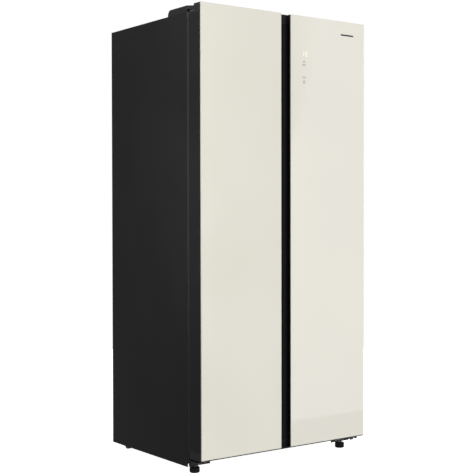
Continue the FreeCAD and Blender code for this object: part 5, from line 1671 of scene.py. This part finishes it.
@dataclass
class Studio:
    """Pale floor, soft lights and the camera.

    Attributes:
        camera_at: Place of the camera.
        azimuth_deg: Its heading, right of the object's own depth axis.
        pitch_deg: How far it looks down.
        roll_deg: How far it is rolled.
        lens_mm: Focal length on a 36 mm sensor.
        floor_m: Width of the floor.
        room_light: Light from all round, as a share of the white backdrop.
        suns: Name, direction, spread in degrees, strength and whether the glass mirrors it.
        strip_at: Place of the weak strip beside the dark sheet.
        strip_aim: What the strip points at.
        strip_watts: Its power.
        card_y: Y of the lit cards behind the camera.
        card_joint: Slanting joint of the two cards, as X and Z of three points.
    """

    camera_at: Corner = (-2.634, -3.5725, 0.9764)
    azimuth_deg: float = 36.41
    pitch_deg: float = 1.13
    roll_deg: float = -0.078
    lens_mm: float = 80.45
    floor_m: float = 7.0
    room_light: float = 0.3
    suns: tuple[tuple[str, Corner, float, float, bool], ...] = (
        ("ceiling", (0.5, -1.0, 2.1), 60.0, 2.55, True),
        ("front", (0.9, -2.4, 0.6), 50.0, 1.45, False),
    )
    strip_at: Corner = (-1.02, -0.36, 1.75)
    strip_aim: Corner = (-0.46, -0.36, 1.75)
    strip_watts: float = 14.0
    card_y: float = -5.0
    card_joint: tuple[tuple[float, float], ...] = ((3.86, 1.72), (4.283, 2.918), (4.40, 3.30))

    def build(self) -> None:
        """Set up the floor, world, lights and camera."""
        self.floor()
        self.world()
        self.lights()
        self.camera()
        bpy.context.scene.view_settings.view_transform = "Standard"

    def staged(self, name: str, bm: bmesh.types.BMesh, finish: Finish) -> bpy.types.Object:
        """Turn a mesh into a stage object that lights and shades nothing by itself.

        Args:
            name: Its name.
            bm: The mesh, which is freed.
            finish: Its finish.

        Returns:
            The new object.
        """
        mesh = bpy.data.meshes.new(name)
        bm.to_mesh(mesh)
        bm.free()
        mesh.materials.append(finish.material())
        made = linked(name, mesh)
        made.visible_diffuse = False
        made.visible_shadow = False
        return made

    def floor(self) -> None:
        """Wide pale floor under the object, which the glass doesn't mirror."""
        bm = bmesh.new()
        bmesh.ops.create_circle(bm, cap_ends=True, segments=64, radius=self.floor_m / 2)
        self.staged("studio_floor", bm, STUDIO_PAPER).visible_glossy = False

    def world(self) -> None:
        """White backdrop, and a dimmer room around it so that the black sheet stays black."""
        world = bpy.data.worlds.new("studio_world")
        world.use_nodes = True
        bpy.context.scene.world = world
        tree = world.node_tree
        path = add_node(tree, "ShaderNodeLightPath")
        level = add_node(
            tree, "ShaderNodeMapRange", {"To Min": self.room_light, "To Max": 1.0},
            {"Value": path.outputs["Is Camera Ray"]},
        )
        background = tree.nodes["Background"]
        background.inputs["Color"].default_value = (1.0, 1.0, 1.0, 1.0)
        tree.links.new(level.outputs["Result"], background.inputs["Strength"])

    def lights(self) -> None:
        """Broad soft light from above and in front, and a weak strip beside the dark sheet."""
        for name, towards, spread_deg, strength, mirrored in self.suns:
            lamp = bpy.data.lights.new(f"{name}_light", "SUN")
            lamp.angle = math.radians(spread_deg)
            lamp.energy = strength
            self.hang(lamp, Vector(towards), Vector((0.0, 0.0, 0.0)), mirrored)
        strip = bpy.data.lights.new("side_light", "AREA")
        strip.shape = "RECTANGLE"
        strip.size, strip.size_y = 0.2, 2.2
        strip.energy = self.strip_watts
        self.hang(strip, Vector(self.strip_at), Vector(self.strip_aim), True)
        self.sheen_card()

    def hang(self, lamp: bpy.types.Light, at: Vector, aim: Vector, mirrored: bool) -> None:
        """Hang a lamp at a place and aim it.

        Args:
            lamp: Its light data.
            at: Where it hangs.
            aim: What it points at.
            mirrored: Whether glossy surfaces mirror it.
        """
        made = linked(lamp.name, lamp)
        made.location = at
        made.rotation_euler = (aim - at).to_track_quat("-Z", "Y").to_euler()
        made.visible_camera = False
        made.visible_glossy = mirrored

    def sheen_card(self) -> None:
        """White cards whose slanting joint the right door's glass mirrors."""
        near = (*self.card_joint, (3.78, 3.30), (3.78, 1.5))
        far = (*self.card_joint[::-1], (3.78, 1.5), (3.78, -1.0), (5.4, -1.0), (5.4, 3.30))
        for name, finish, corners in (("near_card", FADING_CARD, near), ("far_card", CARD_GLOW, far)):
            bm = bmesh.new()
            bm.faces.new([bm.verts.new((x, self.card_y, z)) for x, z in corners])
            self.staged(name, bm, finish).visible_camera = False

    def camera(self) -> None:
        """Camera level with the middle of the object, off to the freezer's side and a little rolled."""
        lens = bpy.data.cameras.new("studio_camera")
        lens.lens = self.lens_mm
        lens.sensor_width = 36.0
        lens.clip_end = 200.0
        made = linked("studio_camera", lens)
        heading = math.radians(self.azimuth_deg)
        down = math.radians(self.pitch_deg)
        forward = Vector(
            (math.sin(heading) * math.cos(down), math.cos(heading) * math.cos(down), -math.sin(down))
        )
        turn = forward.to_track_quat("-Z", "Y").to_matrix().to_4x4()
        roll = Matrix.Rotation(math.radians(self.roll_deg), 4, "Z")
        made.matrix_world = Matrix.Translation(self.camera_at) @ turn @ roll
        bpy.context.scene.camera = made


def main() -> None:
    """Build every sub-assembly in order."""
    logging.basicConfig(level=logging.INFO, format="%(name)s: %(message)s")
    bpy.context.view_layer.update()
    Studio().build()
    CabinetBody().build()
    Interior().build()
    CoolingSystem().build()
    Undercarriage().build()
    Door(Half.FREEZER, LEFT_GLASS).build()
    # The right door's glass colour is painted lighter than the left's: painted light.
    Door(Half.FRIDGE, RIGHT_GLASS_PAINTED_LIGHTER).build()
    DisplayPanel().build()
    Badge().build()


if __name__ == "__main__":
    main()
